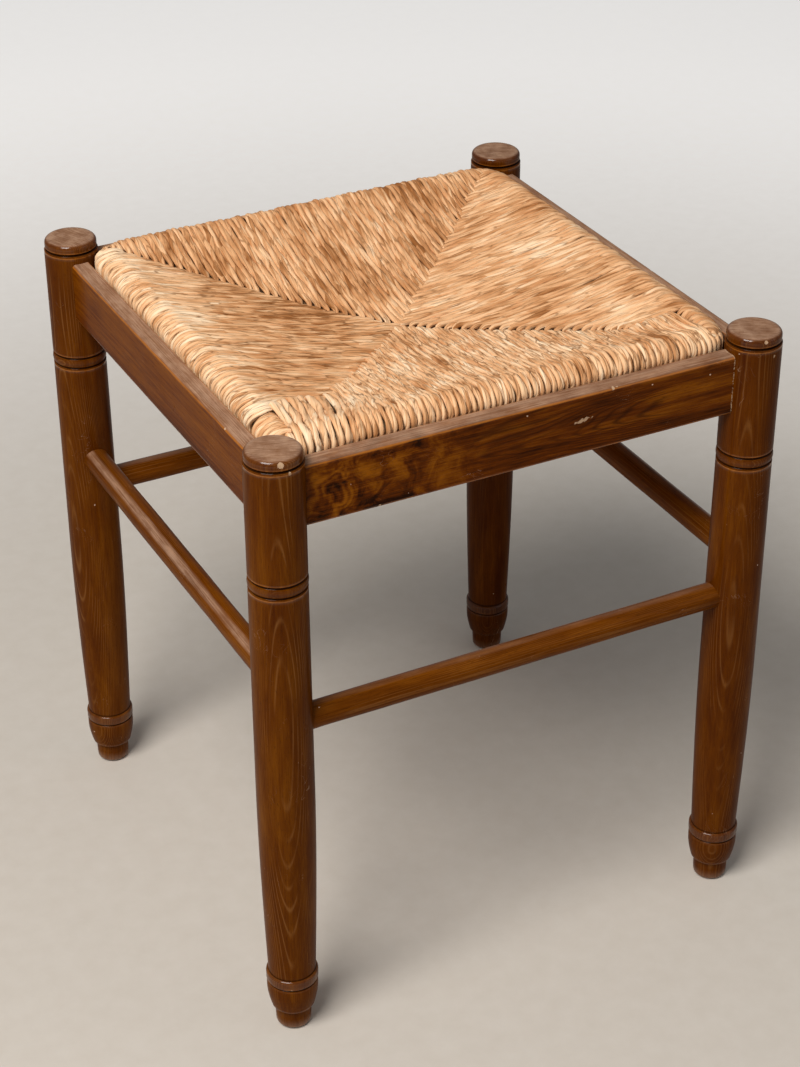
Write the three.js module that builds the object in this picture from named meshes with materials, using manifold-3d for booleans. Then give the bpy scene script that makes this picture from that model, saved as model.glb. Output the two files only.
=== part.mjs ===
// Square wooden stool with four turned legs and a rush seat on a loose frame that drops in.
// Millimetres, +Z up. The origin is on the floor, under the middle of the seat.
// +X runs along the front apron to its right end, +Y from the front to the back.

import * as THREE from 'three';
import { mergeVertices } from 'three/addons/utils/BufferGeometryUtils.js';
import Module from 'manifold-3d';

const wasm = await Module();
wasm.setup();

// Driving dimensions

const FIT = 0.3;
const OVERRUN = 3;

const LEG = {
  height: 450,
  spacing: 342,
  bellyRadius: 19.2,
  shoulderRadius: 18.8,
  capRadius: 18.2,
  capHeight: 7.4,
  capRound: 2.4,
  grooveWidth: 2.4,
  grooveDepth: 1.3,
  ringDrop: 87.5,
  ringSpacing: 7.4,
  taperHeight: 150,
  neckRadius: 16.2,
  beadRadius: 17.8,
  beadHeight: 7.6,
  beadRound: 1.4,
  cupRadius: 17.5,
  cupStraight: 4.8,
  cupHeight: 21.6,
  cupFootRadius: 14.8,
  footHeight: 16.6,
  footTopRadius: 12.6,
  footRadius: 12.1,
  footRound: 3,
  sides: 24,
};

const APRON = {
  height: 42,
  topDrop: 13.5,
  outerOffset: 6.3,
  thickness: 19,
  topWidth: 12.1,
  rebateDepth: 22,
  topRound: 3,
  bottomRound: 1,
};

const DOWEL = {
  radius: 4,
  length: 30,
  legDepth: 13,
  chamfer: 0.8,
  edgeInset: 7.5,
  spacing: 18,
  stagger: 9,
  sides: 8,
};

const RUNG = {
  radius: 9.1,
  frontHeight: 250,
  sideStep: 29,
  legDepth: 20,
  chamfer: 1,
  sides: 24,
};

const SEAT = {
  sideClearance: 0.4,
  legClearance: 1.4,
  rushThickness: 4.6,
  barWidth: 24,
  barHeight: 20,
  barRound: 4,
  tenonLength: 14,
  tenonWidth: 8,
  tenonHeight: 12,
  crownRise: 2.7,
  crestInset: 14.6,
  rollDrop: 10.3,
  dishDepth: 29,
  bottomRound: 3.5,
  middleStuffing: 2.7,
  stuffingTip: 10,
};

// Shares and counts that shape the curves

const dishPower = 1.4;
const softCornerShare = 0.04;
const quarterSteps = 3;
const taperSteps = 5;
const dishSteps = 6;
const sagSteps = 3;
const cornerSteps = 4;

// Places worked out from the sizes

const legAxis = LEG.spacing / 2;
const apronTop = LEG.height - APRON.topDrop;
const apronBottom = apronTop - APRON.height;
const apronOuter = legAxis + APRON.outerOffset;
const apronInner = apronOuter - APRON.thickness;
const apronWall = apronOuter - APRON.topWidth;
const ledgeHeight = apronTop - APRON.rebateDepth;

const dowelStart = LEG.shoulderRadius - DOWEL.legDepth - legAxis;
const dowelEnd = dowelStart + DOWEL.length;
const frontDowels = apronBottom + DOWEL.edgeInset;
const sideDowels = frontDowels + DOWEL.stagger;
const rungStart = LEG.bellyRadius - RUNG.legDepth - legAxis;
const sideRungs = RUNG.frontHeight + RUNG.sideStep;

// The rush turns each corner in a curve that stays clear of the leg.
const rushOuter = apronWall - SEAT.sideClearance;
const legReach = LEG.shoulderRadius + SEAT.legClearance;
const cornerRadius = (legReach - (legAxis - rushOuter) * Math.SQRT2) / (Math.SQRT2 - 1);
const rushCorner = rushOuter - cornerRadius;
const rushBottom = ledgeHeight + FIT;
const barOuter = rushOuter - SEAT.rushThickness - FIT;
const barInner = barOuter - SEAT.barWidth;
const barBottom = rushBottom + SEAT.rushThickness + FIT;
const barTop = barBottom + SEAT.barHeight;
const crestRadius = rushOuter - SEAT.crestInset;
const crestHeight = barTop + FIT + SEAT.rushThickness + SEAT.crownRise;
const middleHeight = crestHeight - SEAT.dishDepth;
const middleBottom = middleHeight - (SEAT.rushThickness + FIT) * 2 - SEAT.middleStuffing;

const CORNERS = [
  { name: 'front_left', x: -1, y: -1 },
  { name: 'front_right', x: 1, y: -1 },
  { name: 'back_right', x: 1, y: 1 },
  { name: 'back_left', x: -1, y: 1 },
];

// Each side is made as the front one and turned about the middle of the stool.
const SIDES = [
  { name: 'front', turn: 0, ends: ['left', 'right'], dowels: frontDowels, rung: RUNG.frontHeight },
  { name: 'right', turn: Math.PI / 2, ends: ['front', 'back'], dowels: sideDowels, rung: sideRungs },
  { name: 'back', turn: Math.PI, ends: ['right', 'left'], dowels: frontDowels, rung: RUNG.frontHeight },
  { name: 'left', turn: -Math.PI / 2, ends: ['back', 'front'], dowels: sideDowels, rung: sideRungs },
];

// Finishes

function finish(color, roughness) {
  return new THREE.MeshStandardMaterial({ color, roughness, metalness: 0 });
}

const walnutStain = () => finish(0x5a2c0c, 0.35);
const bareBeech = () => finish(0xc9a06b, 0.7);
const goldenRush = () => finish(0xd0a066, 0.8);
const packedStraw = () => finish(0x9c7a48, 0.95);

// Solids

function solid(geometry) {
  geometry.deleteAttribute('normal');
  geometry.deleteAttribute('uv');
  const merged = mergeVertices(geometry);
  return new wasm.Manifold(new wasm.Mesh({
    numProp: 3,
    vertProperties: new Float32Array(merged.attributes.position.array),
    triVerts: new Uint32Array(merged.index.array),
  }));
}

function piece(name, body, material) {
  const { vertProperties, triVerts } = body.getMesh();
  const geometry = new THREE.BufferGeometry();
  geometry.setAttribute('position', new THREE.BufferAttribute(new Float32Array(vertProperties), 3));
  geometry.setIndex(new THREE.BufferAttribute(new Uint32Array(triVerts), 1));
  geometry.computeVertexNormals();
  const mesh = new THREE.Mesh(geometry, material);
  mesh.name = name;
  return mesh;
}

function turned(profile, sides) {
  const points = profile.map(([radius, height]) => new THREE.Vector2(radius, height));
  return new THREE.LatheGeometry(points, sides).rotateX(Math.PI / 2);
}

// A rod along X from one place to another, with both end edges chamfered.
function rod(radius, from, to, chamfer, sides) {
  const profile = [[0, from], [radius - chamfer, from], [radius, from + chamfer],
    [radius, to - chamfer], [radius - chamfer, to], [0, to]];
  return solid(turned(profile, sides).rotateY(Math.PI / 2).translate(0, -legAxis, 0));
}

// The hole that such a rod goes into, with flat ends and the same facets.
function hole(radius, from, to, sides, height) {
  const profile = [[0, from], [radius, from], [radius, to], [0, to]];
  return solid(turned(profile, sides).rotateY(Math.PI / 2).translate(0, -legAxis, height));
}

// A section drawn in Y and Z, run along X between plus and minus half the length.
function runAlongX(section, length) {
  const along = new THREE.Matrix4().makeBasis(
    new THREE.Vector3(0, 1, 0), new THREE.Vector3(0, 0, 1), new THREE.Vector3(1, 0, 0));
  const run = { depth: length, bevelEnabled: false, curveSegments: quarterSteps };
  return new THREE.ExtrudeGeometry(section, run).translate(0, 0, -length / 2).applyMatrix4(along);
}

// An outline drawn in X and Y, run up from one height to another.
function runUp(outline, bottom, top) {
  const run = { depth: top - bottom, bevelEnabled: false, curveSegments: cornerSteps };
  return new THREE.ExtrudeGeometry(outline, run).translate(0, 0, bottom);
}

// A block between two corners.
function block(low, high) {
  const size = high.map((value, axis) => value - low[axis]);
  const middle = high.map((value, axis) => (value + low[axis]) / 2);
  return solid(new THREE.BoxGeometry(...size).translate(...middle));
}

// The quarter of the plan that belongs to the front side, with half a gap left along both mitres.
function frontQuarter(tip, reach, bottom, top) {
  const slack = FIT / Math.SQRT2;
  const outline = new THREE.Shape();
  outline.moveTo(tip, -tip - slack);
  outline.lineTo(reach - slack, -reach);
  outline.lineTo(slack - reach, -reach);
  outline.lineTo(-tip, -tip - slack);
  return solid(runUp(outline, bottom, top));
}

function arc(centre, radius, height, rise, fromAngle, toAngle) {
  const points = [];
  for (let step = 0; step <= quarterSteps; step++) {
    const angle = fromAngle + (toAngle - fromAngle) * step / quarterSteps;
    points.push([centre + radius * Math.cos(angle), height + rise * Math.sin(angle)]);
  }
  return points;
}

// Legs: turned from one piece, from a small foot through a cup and a bead to a long taper,
// two rings of grooves and a shallow cap.

function groove(radius, height) {
  const half = LEG.grooveWidth / 2;
  return [[radius, height - half], [radius - LEG.grooveDepth, height], [radius, height + half]];
}

function legProfile(grow) {
  const cupTop = LEG.footHeight + LEG.cupHeight;
  const beadBottom = cupTop + LEG.grooveDepth;
  const beadTop = beadBottom + LEG.beadHeight;
  const taperTop = beadTop + LEG.taperHeight;
  const capBottom = LEG.height - LEG.capHeight;
  const foot = [
    [0, 0],
    ...arc(LEG.footRadius - LEG.footRound, LEG.footRound, LEG.footRound, LEG.footRound, -Math.PI / 2, 0),
    [LEG.footTopRadius, LEG.footHeight],
  ];
  const cup = [];
  for (let step = 0; step <= quarterSteps; step++) {
    const swellShare = Math.sin(Math.PI / 2 * step / quarterSteps);
    const height = (LEG.cupHeight - LEG.cupStraight) * step / quarterSteps;
    cup.push([LEG.cupFootRadius + (LEG.cupRadius - LEG.cupFootRadius) * swellShare, LEG.footHeight + height]);
  }
  cup.push([LEG.cupRadius, cupTop]);
  const bead = [
    [LEG.cupRadius - LEG.grooveDepth / 2, (cupTop + beadBottom) / 2],
    [LEG.beadRadius, beadBottom],
    [LEG.beadRadius, beadTop - LEG.beadRound],
    [LEG.beadRadius - LEG.beadRound / 2, beadTop],
  ];
  const taper = [];
  for (let step = 0; step <= taperSteps; step++) {
    const swellShare = Math.sin(Math.PI / 2 * step / taperSteps);
    taper.push([LEG.neckRadius + (LEG.bellyRadius - LEG.neckRadius) * swellShare,
      beadTop + (taperTop - beadTop) * step / taperSteps]);
  }
  const upper = [
    ...groove(LEG.shoulderRadius, LEG.height - LEG.ringDrop - LEG.ringSpacing),
    ...groove(LEG.shoulderRadius, LEG.height - LEG.ringDrop),
    ...groove(LEG.shoulderRadius, capBottom).slice(0, 2),
    [LEG.capRadius, capBottom + LEG.grooveWidth / 2],
    ...arc(LEG.capRadius - LEG.capRound, LEG.capRound, LEG.height - LEG.capRound, LEG.capRound,
      0, Math.PI / 2),
    [0, LEG.height],
  ];
  const profile = [...foot, ...cup, ...bead, ...taper, ...upper];
  return profile.map(([radius, height]) => [radius === 0 ? 0 : radius + grow, height]);
}

function legBlank(grow) {
  return solid(turned(legProfile(grow), LEG.sides).translate(-legAxis, -legAxis, 0));
}

// The holes at the front left leg: two dowels deep in the leg and the apron, and one for the rung.
function dowelHoles(height) {
  const lower = hole(DOWEL.radius + FIT, dowelStart - FIT, dowelEnd + FIT, DOWEL.sides, height);
  return lower.add(lower.translate([0, 0, DOWEL.spacing]));
}

function rungHole(height) {
  return hole(RUNG.radius + FIT, rungStart - FIT, LEG.bellyRadius + OVERRUN - legAxis, RUNG.sides, height);
}

// The front left leg is bored for both of its neighbours, and the others are its mirror images.
function legs() {
  const swapSides = new THREE.Matrix4().makeBasis(
    new THREE.Vector3(0, 1, 0), new THREE.Vector3(1, 0, 0), new THREE.Vector3(0, 0, 1)).elements;
  const leg = legBlank(0)
    .subtract(dowelHoles(frontDowels))
    .subtract(dowelHoles(sideDowels).transform(swapSides))
    .subtract(rungHole(RUNG.frontHeight))
    .subtract(rungHole(sideRungs).transform(swapSides));
  return CORNERS.map(({ name, x, y }) => piece(`leg_${name}`, leg.scale([-x, -y, 1]), walnutStain()));
}

// Aprons: rounded along the top outer edge, rebated inside for the seat, and hollowed at both ends
// to fit round the legs.
function apronSection() {
  const shape = new THREE.Shape();
  shape.moveTo(-apronOuter, apronTop - APRON.topRound);
  shape.lineTo(-apronOuter, apronBottom + APRON.bottomRound);
  shape.lineTo(-apronOuter + APRON.bottomRound, apronBottom);
  shape.lineTo(-apronInner - APRON.bottomRound, apronBottom);
  shape.lineTo(-apronInner, apronBottom + APRON.bottomRound);
  shape.lineTo(-apronInner, ledgeHeight);
  shape.lineTo(-apronWall, ledgeHeight);
  shape.lineTo(-apronWall, apronTop);
  shape.lineTo(-apronOuter + APRON.topRound, apronTop);
  shape.absarc(-apronOuter + APRON.topRound, apronTop - APRON.topRound, APRON.topRound,
    Math.PI / 2, Math.PI, false);
  return shape;
}

function aprons() {
  const legTool = legBlank(FIT);
  const blank = solid(runAlongX(apronSection(), LEG.spacing))
    .subtract(legTool)
    .subtract(legTool.scale([-1, 1, 1]))
    .intersect(frontQuarter(0, apronOuter + OVERRUN, apronBottom - OVERRUN, apronTop + OVERRUN));
  return SIDES.map(({ name, turn, dowels: height }) => {
    const holes = dowelHoles(height);
    const apron = blank.subtract(holes).subtract(holes.scale([-1, 1, 1]));
    const mesh = piece(`apron_${name}`, apron, walnutStain());
    mesh.rotation.z = turn;
    return mesh;
  });
}

// Dowels: two at each end of each apron, staggered so that those of two sides pass in the leg.
function dowels() {
  const near = rod(DOWEL.radius, dowelStart, dowelEnd, DOWEL.chamfer, DOWEL.sides);
  const pair = [near, near.scale([-1, 1, 1])];
  const meshes = [];
  for (const { name, turn, ends, dowels: height } of SIDES) {
    for (const [index, end] of ends.entries()) {
      for (const [row, level] of ['lower', 'upper'].entries()) {
        const mesh = piece(`dowel_${name}_${end}_${level}`, pair[index], bareBeech());
        mesh.rotation.z = turn;
        mesh.position.z = height + DOWEL.spacing * row;
        meshes.push(mesh);
      }
    }
  }
  return meshes;
}

// Rungs: plain round bars, the front and back pair lower than the side pair.
function rungs() {
  const bar = rod(RUNG.radius, rungStart, -rungStart, RUNG.chamfer, RUNG.sides);
  return SIDES.map(({ name, turn, rung: height }) => {
    const mesh = piece(`rung_${name}`, bar, walnutStain());
    mesh.rotation.z = turn;
    mesh.position.z = height;
    return mesh;
  });
}

// Seat frame: four bars, rounded for the rush, the side bars tenoned into the front and back bars.

function roundedSquare(half, corner) {
  const straight = half - corner;
  const shape = new THREE.Shape();
  shape.moveTo(straight, -half);
  shape.absarc(straight, -straight, corner, -Math.PI / 2, 0, false);
  shape.absarc(straight, straight, corner, 0, Math.PI / 2, false);
  shape.absarc(-straight, straight, corner, Math.PI / 2, Math.PI, false);
  shape.absarc(-straight, -straight, corner, Math.PI, Math.PI * 3 / 2, false);
  return shape;
}

function frameOutline(grow) {
  const half = barOuter + grow;
  return solid(runUp(roundedSquare(half, half - rushCorner), barBottom - OVERRUN, barTop + OVERRUN));
}

function barSection(grow) {
  const outer = -barOuter - grow;
  const inner = -barInner + grow;
  const bottom = barBottom - grow;
  const top = barTop + grow;
  const round = SEAT.barRound;
  const shape = new THREE.Shape();
  shape.moveTo(outer + round, bottom);
  shape.absarc(inner - round, bottom + round, round, -Math.PI / 2, 0, false);
  shape.absarc(inner - round, top - round, round, 0, Math.PI / 2, false);
  shape.absarc(outer + round, top - round, round, Math.PI / 2, Math.PI, false);
  shape.absarc(outer + round, bottom + round, round, Math.PI, Math.PI * 3 / 2, false);
  return shape;
}

// The tenon at the front end of the right bar, or with a gap round it the mortise that takes it.
function tenon(grow) {
  const middle = [(barInner + barOuter) / 2, (barBottom + barTop) / 2];
  const [width, height] = [SEAT.tenonWidth / 2 + grow, SEAT.tenonHeight / 2 + grow];
  const root = barInner - FIT - OVERRUN;
  const tip = barInner + SEAT.tenonLength + grow;
  return block([middle[0] - width, -tip, middle[1] - height], [middle[0] + width, -root, middle[1] + height]);
}

function seatBars() {
  const mortise = tenon(FIT);
  const longBar = solid(runAlongX(barSection(0), barOuter * 2))
    .intersect(frameOutline(0))
    .subtract(mortise)
    .subtract(mortise.scale([-1, 1, 1]));
  const peg = tenon(0);
  const shortBar = solid(runAlongX(barSection(0), (barInner - FIT) * 2).rotateZ(Math.PI / 2))
    .add(peg)
    .add(peg.scale([1, -1, 1]));
  const placed = {
    front: longBar,
    right: shortBar,
    back: longBar.scale([1, -1, 1]),
    left: shortBar.scale([-1, 1, 1]),
  };
  return SIDES.map(({ name }) => piece(`seat_bar_${name}`, placed[name], bareBeech()));
}

// Rush: wound over the bars towards the middle, so it dishes inward from a rolled rim and meets
// along four mitre lines. The section is given as half width and height, from the top middle
// round the rim to the middle of the underside.

function dishHeight(radius) {
  return middleHeight + SEAT.dishDepth * (radius / crestRadius) ** dishPower;
}

function undersideHeight(radius) {
  const outwardShare = Math.min(1, radius / barInner);
  return middleBottom + (rushBottom - middleBottom) * outwardShare ** 2;
}

function dish(limit, drop) {
  const points = [];
  for (let step = 0; step <= dishSteps; step++) {
    const radius = limit * step / dishSteps;
    points.push([radius, dishHeight(radius) - drop]);
  }
  return points;
}

function underside(limit, rise) {
  const points = [];
  for (let step = 0; step <= sagSteps; step++) {
    const radius = limit * (1 - step / sagSteps);
    points.push([radius, undersideHeight(radius) + rise]);
  }
  return points;
}

function rushSection() {
  return [
    ...dish(crestRadius, 0),
    ...arc(crestRadius, SEAT.crestInset, crestHeight - SEAT.rollDrop, SEAT.rollDrop, Math.PI / 2, 0).slice(1),
    ...arc(rushOuter - SEAT.bottomRound, SEAT.bottomRound, rushBottom + SEAT.bottomRound, SEAT.bottomRound,
      0, -Math.PI / 2),
    ...underside(barInner, 0),
  ];
}

function stuffingSection() {
  const limit = barInner - FIT;
  const skin = SEAT.rushThickness + FIT;
  return [...dish(limit, skin), ...underside(limit, skin)];
}

// The room for it opens into the room for the bars, past their rounded edges.
function stuffingRoom() {
  const past = barInner + SEAT.barRound;
  return [
    ...dish(past, SEAT.rushThickness),
    [past, barBottom + SEAT.barRound],
    ...underside(barInner, SEAT.rushThickness),
  ];
}

// A closed body of rounded squares, one for each point of the section.
function ringed(section) {
  const first = section[0];
  const last = section[section.length - 1];
  const rings = section.slice(1, -1);
  const positions = [0, 0, first[1]];
  const faces = [];
  const perRing = 4 * (cornerSteps + 1);
  for (const [half, height] of rings) {
    const corner = Math.max(half - rushCorner, half * softCornerShare);
    const straight = half - corner;
    for (let quarter = 0; quarter < 4; quarter++) {
      const start = Math.PI / 2 * quarter;
      const centre = start + Math.PI / 4;
      for (let step = 0; step <= cornerSteps; step++) {
        const angle = start + Math.PI / 2 * step / cornerSteps;
        positions.push(
          straight * Math.SQRT2 * Math.cos(centre) + corner * Math.cos(angle),
          straight * Math.SQRT2 * Math.sin(centre) + corner * Math.sin(angle),
          height);
      }
    }
  }
  positions.push(0, 0, last[1]);
  const vertex = (ring, index) => 1 + ring * perRing + index % perRing;
  const end = 1 + rings.length * perRing;
  for (let index = 0; index < perRing; index++) {
    faces.push(0, vertex(0, index), vertex(0, index + 1));
    for (let ring = 0; ring < rings.length - 1; ring++) {
      const [a, b] = [vertex(ring, index), vertex(ring, index + 1)];
      const [c, d] = [vertex(ring + 1, index), vertex(ring + 1, index + 1)];
      faces.push(a, c, d, a, d, b);
    }
    faces.push(end, vertex(rings.length - 1, index + 1), vertex(rings.length - 1, index));
  }
  const geometry = new THREE.BufferGeometry();
  geometry.setAttribute('position', new THREE.Float32BufferAttribute(positions, 3));
  geometry.setIndex(faces);
  return solid(geometry);
}

function seatQuarter(tip) {
  return frontQuarter(tip, rushOuter + OVERRUN, middleBottom - OVERRUN, crestHeight + OVERRUN);
}

// The room that the bars take inside the rush, at the front and along both sides.
function barSpace() {
  const [front, right, left] = [0, Math.PI / 2, -Math.PI / 2].map((turn) => solid(
    runAlongX(barSection(FIT), (barOuter + FIT) * 2).rotateZ(turn)));
  return front.add(right).add(left).intersect(frameOutline(FIT));
}

function rushAndStuffing() {
  const stuffing = ringed(stuffingSection()).intersect(seatQuarter(SEAT.stuffingTip));
  const tipGap = SEAT.stuffingTip - FIT;
  const outward = block([-rushOuter, -rushOuter, middleBottom], [rushOuter, -tipGap, crestHeight]);
  const rush = ringed(rushSection())
    .subtract(barSpace())
    .subtract(ringed(stuffingRoom()).intersect(outward))
    .intersect(seatQuarter(0));
  return SIDES.flatMap(({ name, turn }) => {
    const meshes = [
      piece(`rush_${name}`, rush, goldenRush()),
      piece(`stuffing_${name}`, stuffing, packedStraw()),
    ];
    for (const mesh of meshes) mesh.rotation.z = turn;
    return meshes;
  });
}

// The whole stool: a glued frame that stays put, and a seat that lifts out of it

const frame = new THREE.Group();
frame.add(...legs(), ...aprons(), ...dowels(), ...rungs());

const seat = new THREE.Group();
seat.add(...seatBars(), ...rushAndStuffing());

const stool = new THREE.Group();
stool.add(frame, seat);

export default stool;
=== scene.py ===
# %% [markdown]
# # A rush-seated stool, dressed
# The stool has two bodies: a glued frame of turned legs, aprons and rungs, and a loose seat that
# drops in. The solid model is loaded first and never moved. Everything below is built round it,
# in metres, with +Z up and the front apron along X.

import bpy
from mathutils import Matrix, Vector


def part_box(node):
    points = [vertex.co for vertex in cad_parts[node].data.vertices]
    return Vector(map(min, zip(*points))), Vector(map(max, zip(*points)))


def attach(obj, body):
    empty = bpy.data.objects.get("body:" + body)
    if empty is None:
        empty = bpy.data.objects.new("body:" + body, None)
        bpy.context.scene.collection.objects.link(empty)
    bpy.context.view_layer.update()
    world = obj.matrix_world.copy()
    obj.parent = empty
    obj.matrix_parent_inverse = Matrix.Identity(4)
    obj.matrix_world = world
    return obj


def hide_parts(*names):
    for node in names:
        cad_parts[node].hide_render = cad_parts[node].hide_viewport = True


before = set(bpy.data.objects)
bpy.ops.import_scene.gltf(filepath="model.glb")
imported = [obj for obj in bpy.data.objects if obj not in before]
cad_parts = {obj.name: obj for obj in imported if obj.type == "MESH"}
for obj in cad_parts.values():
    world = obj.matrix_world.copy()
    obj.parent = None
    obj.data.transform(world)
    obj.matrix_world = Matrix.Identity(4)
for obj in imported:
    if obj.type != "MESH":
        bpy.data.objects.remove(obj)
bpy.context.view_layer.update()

# %% [markdown]
# ## Sizes
# Lengths are written in millimetres, as a maker says them, and become metres where points are
# made. The large ones could be typed in again, but then they could drift from the solid model, so
# they are read from the boxes of its solids. The small ones of a profile or a section are named.

# %% Tools and units
import math

import bmesh
import bpy
import numpy as np
from mathutils import Matrix, Vector
from mathutils.geometry import tessellate_polygon

MM = 0.001
scene = bpy.context.scene


def box_mm(node):
    """The lowest and highest corners of a solid at rest, to a tenth of a millimetre."""
    return [np.round(np.array(corner) / MM, 1).tolist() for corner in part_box(node)]


print("box of a leg:", *box_mm("leg_front_left"), "mm")

# %% [markdown]
# ## Camera
# The photograph was taken from above the front left corner with a fairly long lens. A camera could
# be set by eye, but the stool's edges would drift from the picture's, so the place, the turn and
# the lens come from fitting those edges. The picture is taller than it is wide, and Blender fits
# the sensor to the longer side.

# %% Camera
IMAGE_HEIGHT, FOCAL_PIXELS = 1067, 2316.42
SENSOR = 36.0
AZIMUTH, ELEVATION, ROLL = map(math.radians, (-27.11, 31.39, -0.25))
AIM, DISTANCE = Vector((-0.11, -0.88, 250.59)) * MM, 1663.45 * MM

toward_camera = Vector((
    math.sin(AZIMUTH) * math.cos(ELEVATION), -math.cos(AZIMUTH) * math.cos(ELEVATION), math.sin(ELEVATION)))
camera_data = bpy.data.cameras.new("camera")
camera_data.sensor_width = SENSOR
camera_data.lens = FOCAL_PIXELS * SENSOR / IMAGE_HEIGHT
camera = bpy.data.objects.new("camera", camera_data)
camera.rotation_mode = "QUATERNION"
level_turn = toward_camera.to_track_quat("Z", "Y")
camera.rotation_quaternion = level_turn @ Matrix.Rotation(ROLL, 3, "Z").to_quaternion()
camera.location = AIM + toward_camera * DISTANCE
scene.collection.objects.link(camera)
scene.camera = camera
print("lens", round(camera_data.lens, 2), "mm at", [round(v, 3) for v in camera.location])

# %% [markdown]
# ## Small helpers for node trees
# A finish is a network of nodes. It could be wired by hand in the editor, but a script can be
# read, changed and run again. Each helper adds one kind of node, feeds it and hands back the
# socket that the next one needs. The same helpers serve materials and geometry.

# %% Node helpers
def plug(tree, socket, value):
    if isinstance(value, bpy.types.NodeSocket):
        tree.links.new(value, socket)
    else:
        socket.default_value = value


def add(tree, kind, inputs=None, **settings):
    node = tree.nodes.new(kind)
    for key, value in settings.items():
        setattr(node, key, value)
    for key, value in (inputs or {}).items():
        plug(tree, node.inputs[key], value)
    return node


def parts(tree, place):
    return add(tree, "ShaderNodeSeparateXYZ", {"Vector": place}).outputs


def joined(tree, **values):
    return add(tree, "ShaderNodeCombineXYZ", values).outputs["Vector"]


def named(tree, name, output="Fac"):
    """A value that the mesh carries at each point."""
    return add(tree, "ShaderNodeAttribute", attribute_name=name).outputs[output]


def own_place(tree):
    return add(tree, "ShaderNodeTexCoord").outputs["Object"]


print("single nodes: plug, add, parts, joined, named, own_place")


# %% Arithmetic helpers
def calc(tree, operation, *values, clamp=False):
    node = add(tree, "ShaderNodeMath", operation=operation, use_clamp=clamp)
    for socket, value in zip(node.inputs, values):
        plug(tree, socket, value)
    return node.outputs[0]


def times(tree, first, second, plus=None, clamp=False):
    """A product, and the sum of it and a third value where there is one."""
    if plus is None:
        return calc(tree, "MULTIPLY", first, second, clamp=clamp)
    return calc(tree, "MULTIPLY_ADD", first, second, plus, clamp=clamp)


def total(tree, *values):
    result = values[0]
    for value in values[1:]:
        result = calc(tree, "ADD", result, value)
    return result


def swing(tree, value, amount):
    """A value from 0 to 1, made to swing round zero over the whole amount."""
    return times(tree, calc(tree, "SUBTRACT", value, 0.5), amount)


def vec(tree, operation, *values):
    """Arithmetic on places and directions."""
    node = add(tree, "ShaderNodeVectorMath", operation=operation)
    sockets = [node.inputs[0], node.inputs["Scale"]] if operation == "SCALE" else node.inputs
    for socket, value in zip(sockets, values):
        plug(tree, socket, value)
    return node.outputs["Value" if operation in ("DOT_PRODUCT", "LENGTH", "DISTANCE") else "Vector"]


def between(tree, value, low, high, to_low=0.0, to_high=1.0):
    """A smooth step from one value to another while the input goes from low to high."""
    node = add(tree, "ShaderNodeMapRange", {
        "Value": value, "From Min": low, "From Max": high, "To Min": to_low, "To Max": to_high},
        interpolation_type="SMOOTHSTEP")
    return node.outputs["Result"]


print("arithmetic: calc, times, total, swing, vec, between")


# %% Pattern and colour helpers
def noise(tree, place, scale, detail=2.0, roughness=0.5, distortion=0.0, draw=1.0, output="Fac"):
    """Soft noise, drawn out along the grain where draw is under 1."""
    if draw != 1.0:
        place = vec(tree, "MULTIPLY", place, (1.0, 1.0, draw))
    node = add(tree, "ShaderNodeTexNoise", {
        "Vector": place, "Scale": scale, "Detail": detail, "Roughness": roughness,
        "Distortion": distortion})
    return node.outputs[output]


def push(tree, place, scale, draw=1.0):
    """A smooth random direction at every place, up to half a unit each way."""
    colour = noise(tree, place, scale, draw=draw, output="Color")
    return vec(tree, "SUBTRACT", colour, (0.5, 0.5, 0.5))


def pushed(tree, place, direction, amount):
    return vec(tree, "ADD", place, vec(tree, "SCALE", direction, amount))


def blend_colour(tree, share, first, second):
    node = add(tree, "ShaderNodeMix", {0: share}, data_type="RGBA")
    for socket, value in ((node.inputs[6], first), (node.inputs[7], second)):
        plug(tree, socket, value if isinstance(value, bpy.types.NodeSocket) else (*value, 1.0))
    return node.outputs[2]


def paint_over(tree, colour, *layers):
    """Lays colours on one another, each as far as its share says."""
    for share, paint in layers:
        colour = blend_colour(tree, share, colour, paint)
    return colour


def colour_steps(tree, share, stops):
    node = add(tree, "ShaderNodeValToRGB", {"Fac": share})
    ramp = node.color_ramp
    while len(ramp.elements) < len(stops):
        ramp.elements.new(0.5)
    for element, (place, colour) in zip(ramp.elements, stops):
        element.position = place
        element.color = (*colour, 1.0)
    return node.outputs["Color"]


print("patterns: noise, push, pushed; colours: blend_colour, paint_over, colour_steps")


# %% Groups and materials
SOCKETS = {float: "NodeSocketFloat", int: "NodeSocketInt", tuple: "NodeSocketVector"}


def group_tree(name, inputs, outputs, tree_type="ShaderNodeTree", result_kind="NodeSocketFloat"):
    """A group whose inputs are given by their default values, or by a kind of socket alone."""
    tree = bpy.data.node_groups.new(name, tree_type)
    for label, value in inputs.items():
        kind = SOCKETS.get(type(value), value)
        item = tree.interface.new_socket(name=label, in_out="INPUT", socket_type=kind)
        if kind != value:
            item.default_value = value
    for label in outputs:
        tree.interface.new_socket(name=label, in_out="OUTPUT", socket_type=result_kind)
    return tree, add(tree, "NodeGroupInput").outputs, add(tree, "NodeGroupOutput").inputs


def use_group(tree, group, **inputs):
    node = add(tree, "ShaderNodeGroup", node_tree=group)
    for key, value in inputs.items():
        plug(tree, node.inputs[key.replace("_", " ").title()], value)
    return node.outputs


def new_material(name):
    material = bpy.data.materials.new(name)
    material.use_nodes = True
    tree = material.node_tree
    return material, tree, tree.nodes["Principled BSDF"]


def set_bump(tree, shader, height, strength, distance):
    bump = add(tree, "ShaderNodeBump", {"Height": height, "Strength": strength, "Distance": distance})
    plug(tree, shader.inputs["Normal"], bump.outputs["Normal"])


print("sockets of a group:", ", ".join(SOCKETS.values()))

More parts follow.
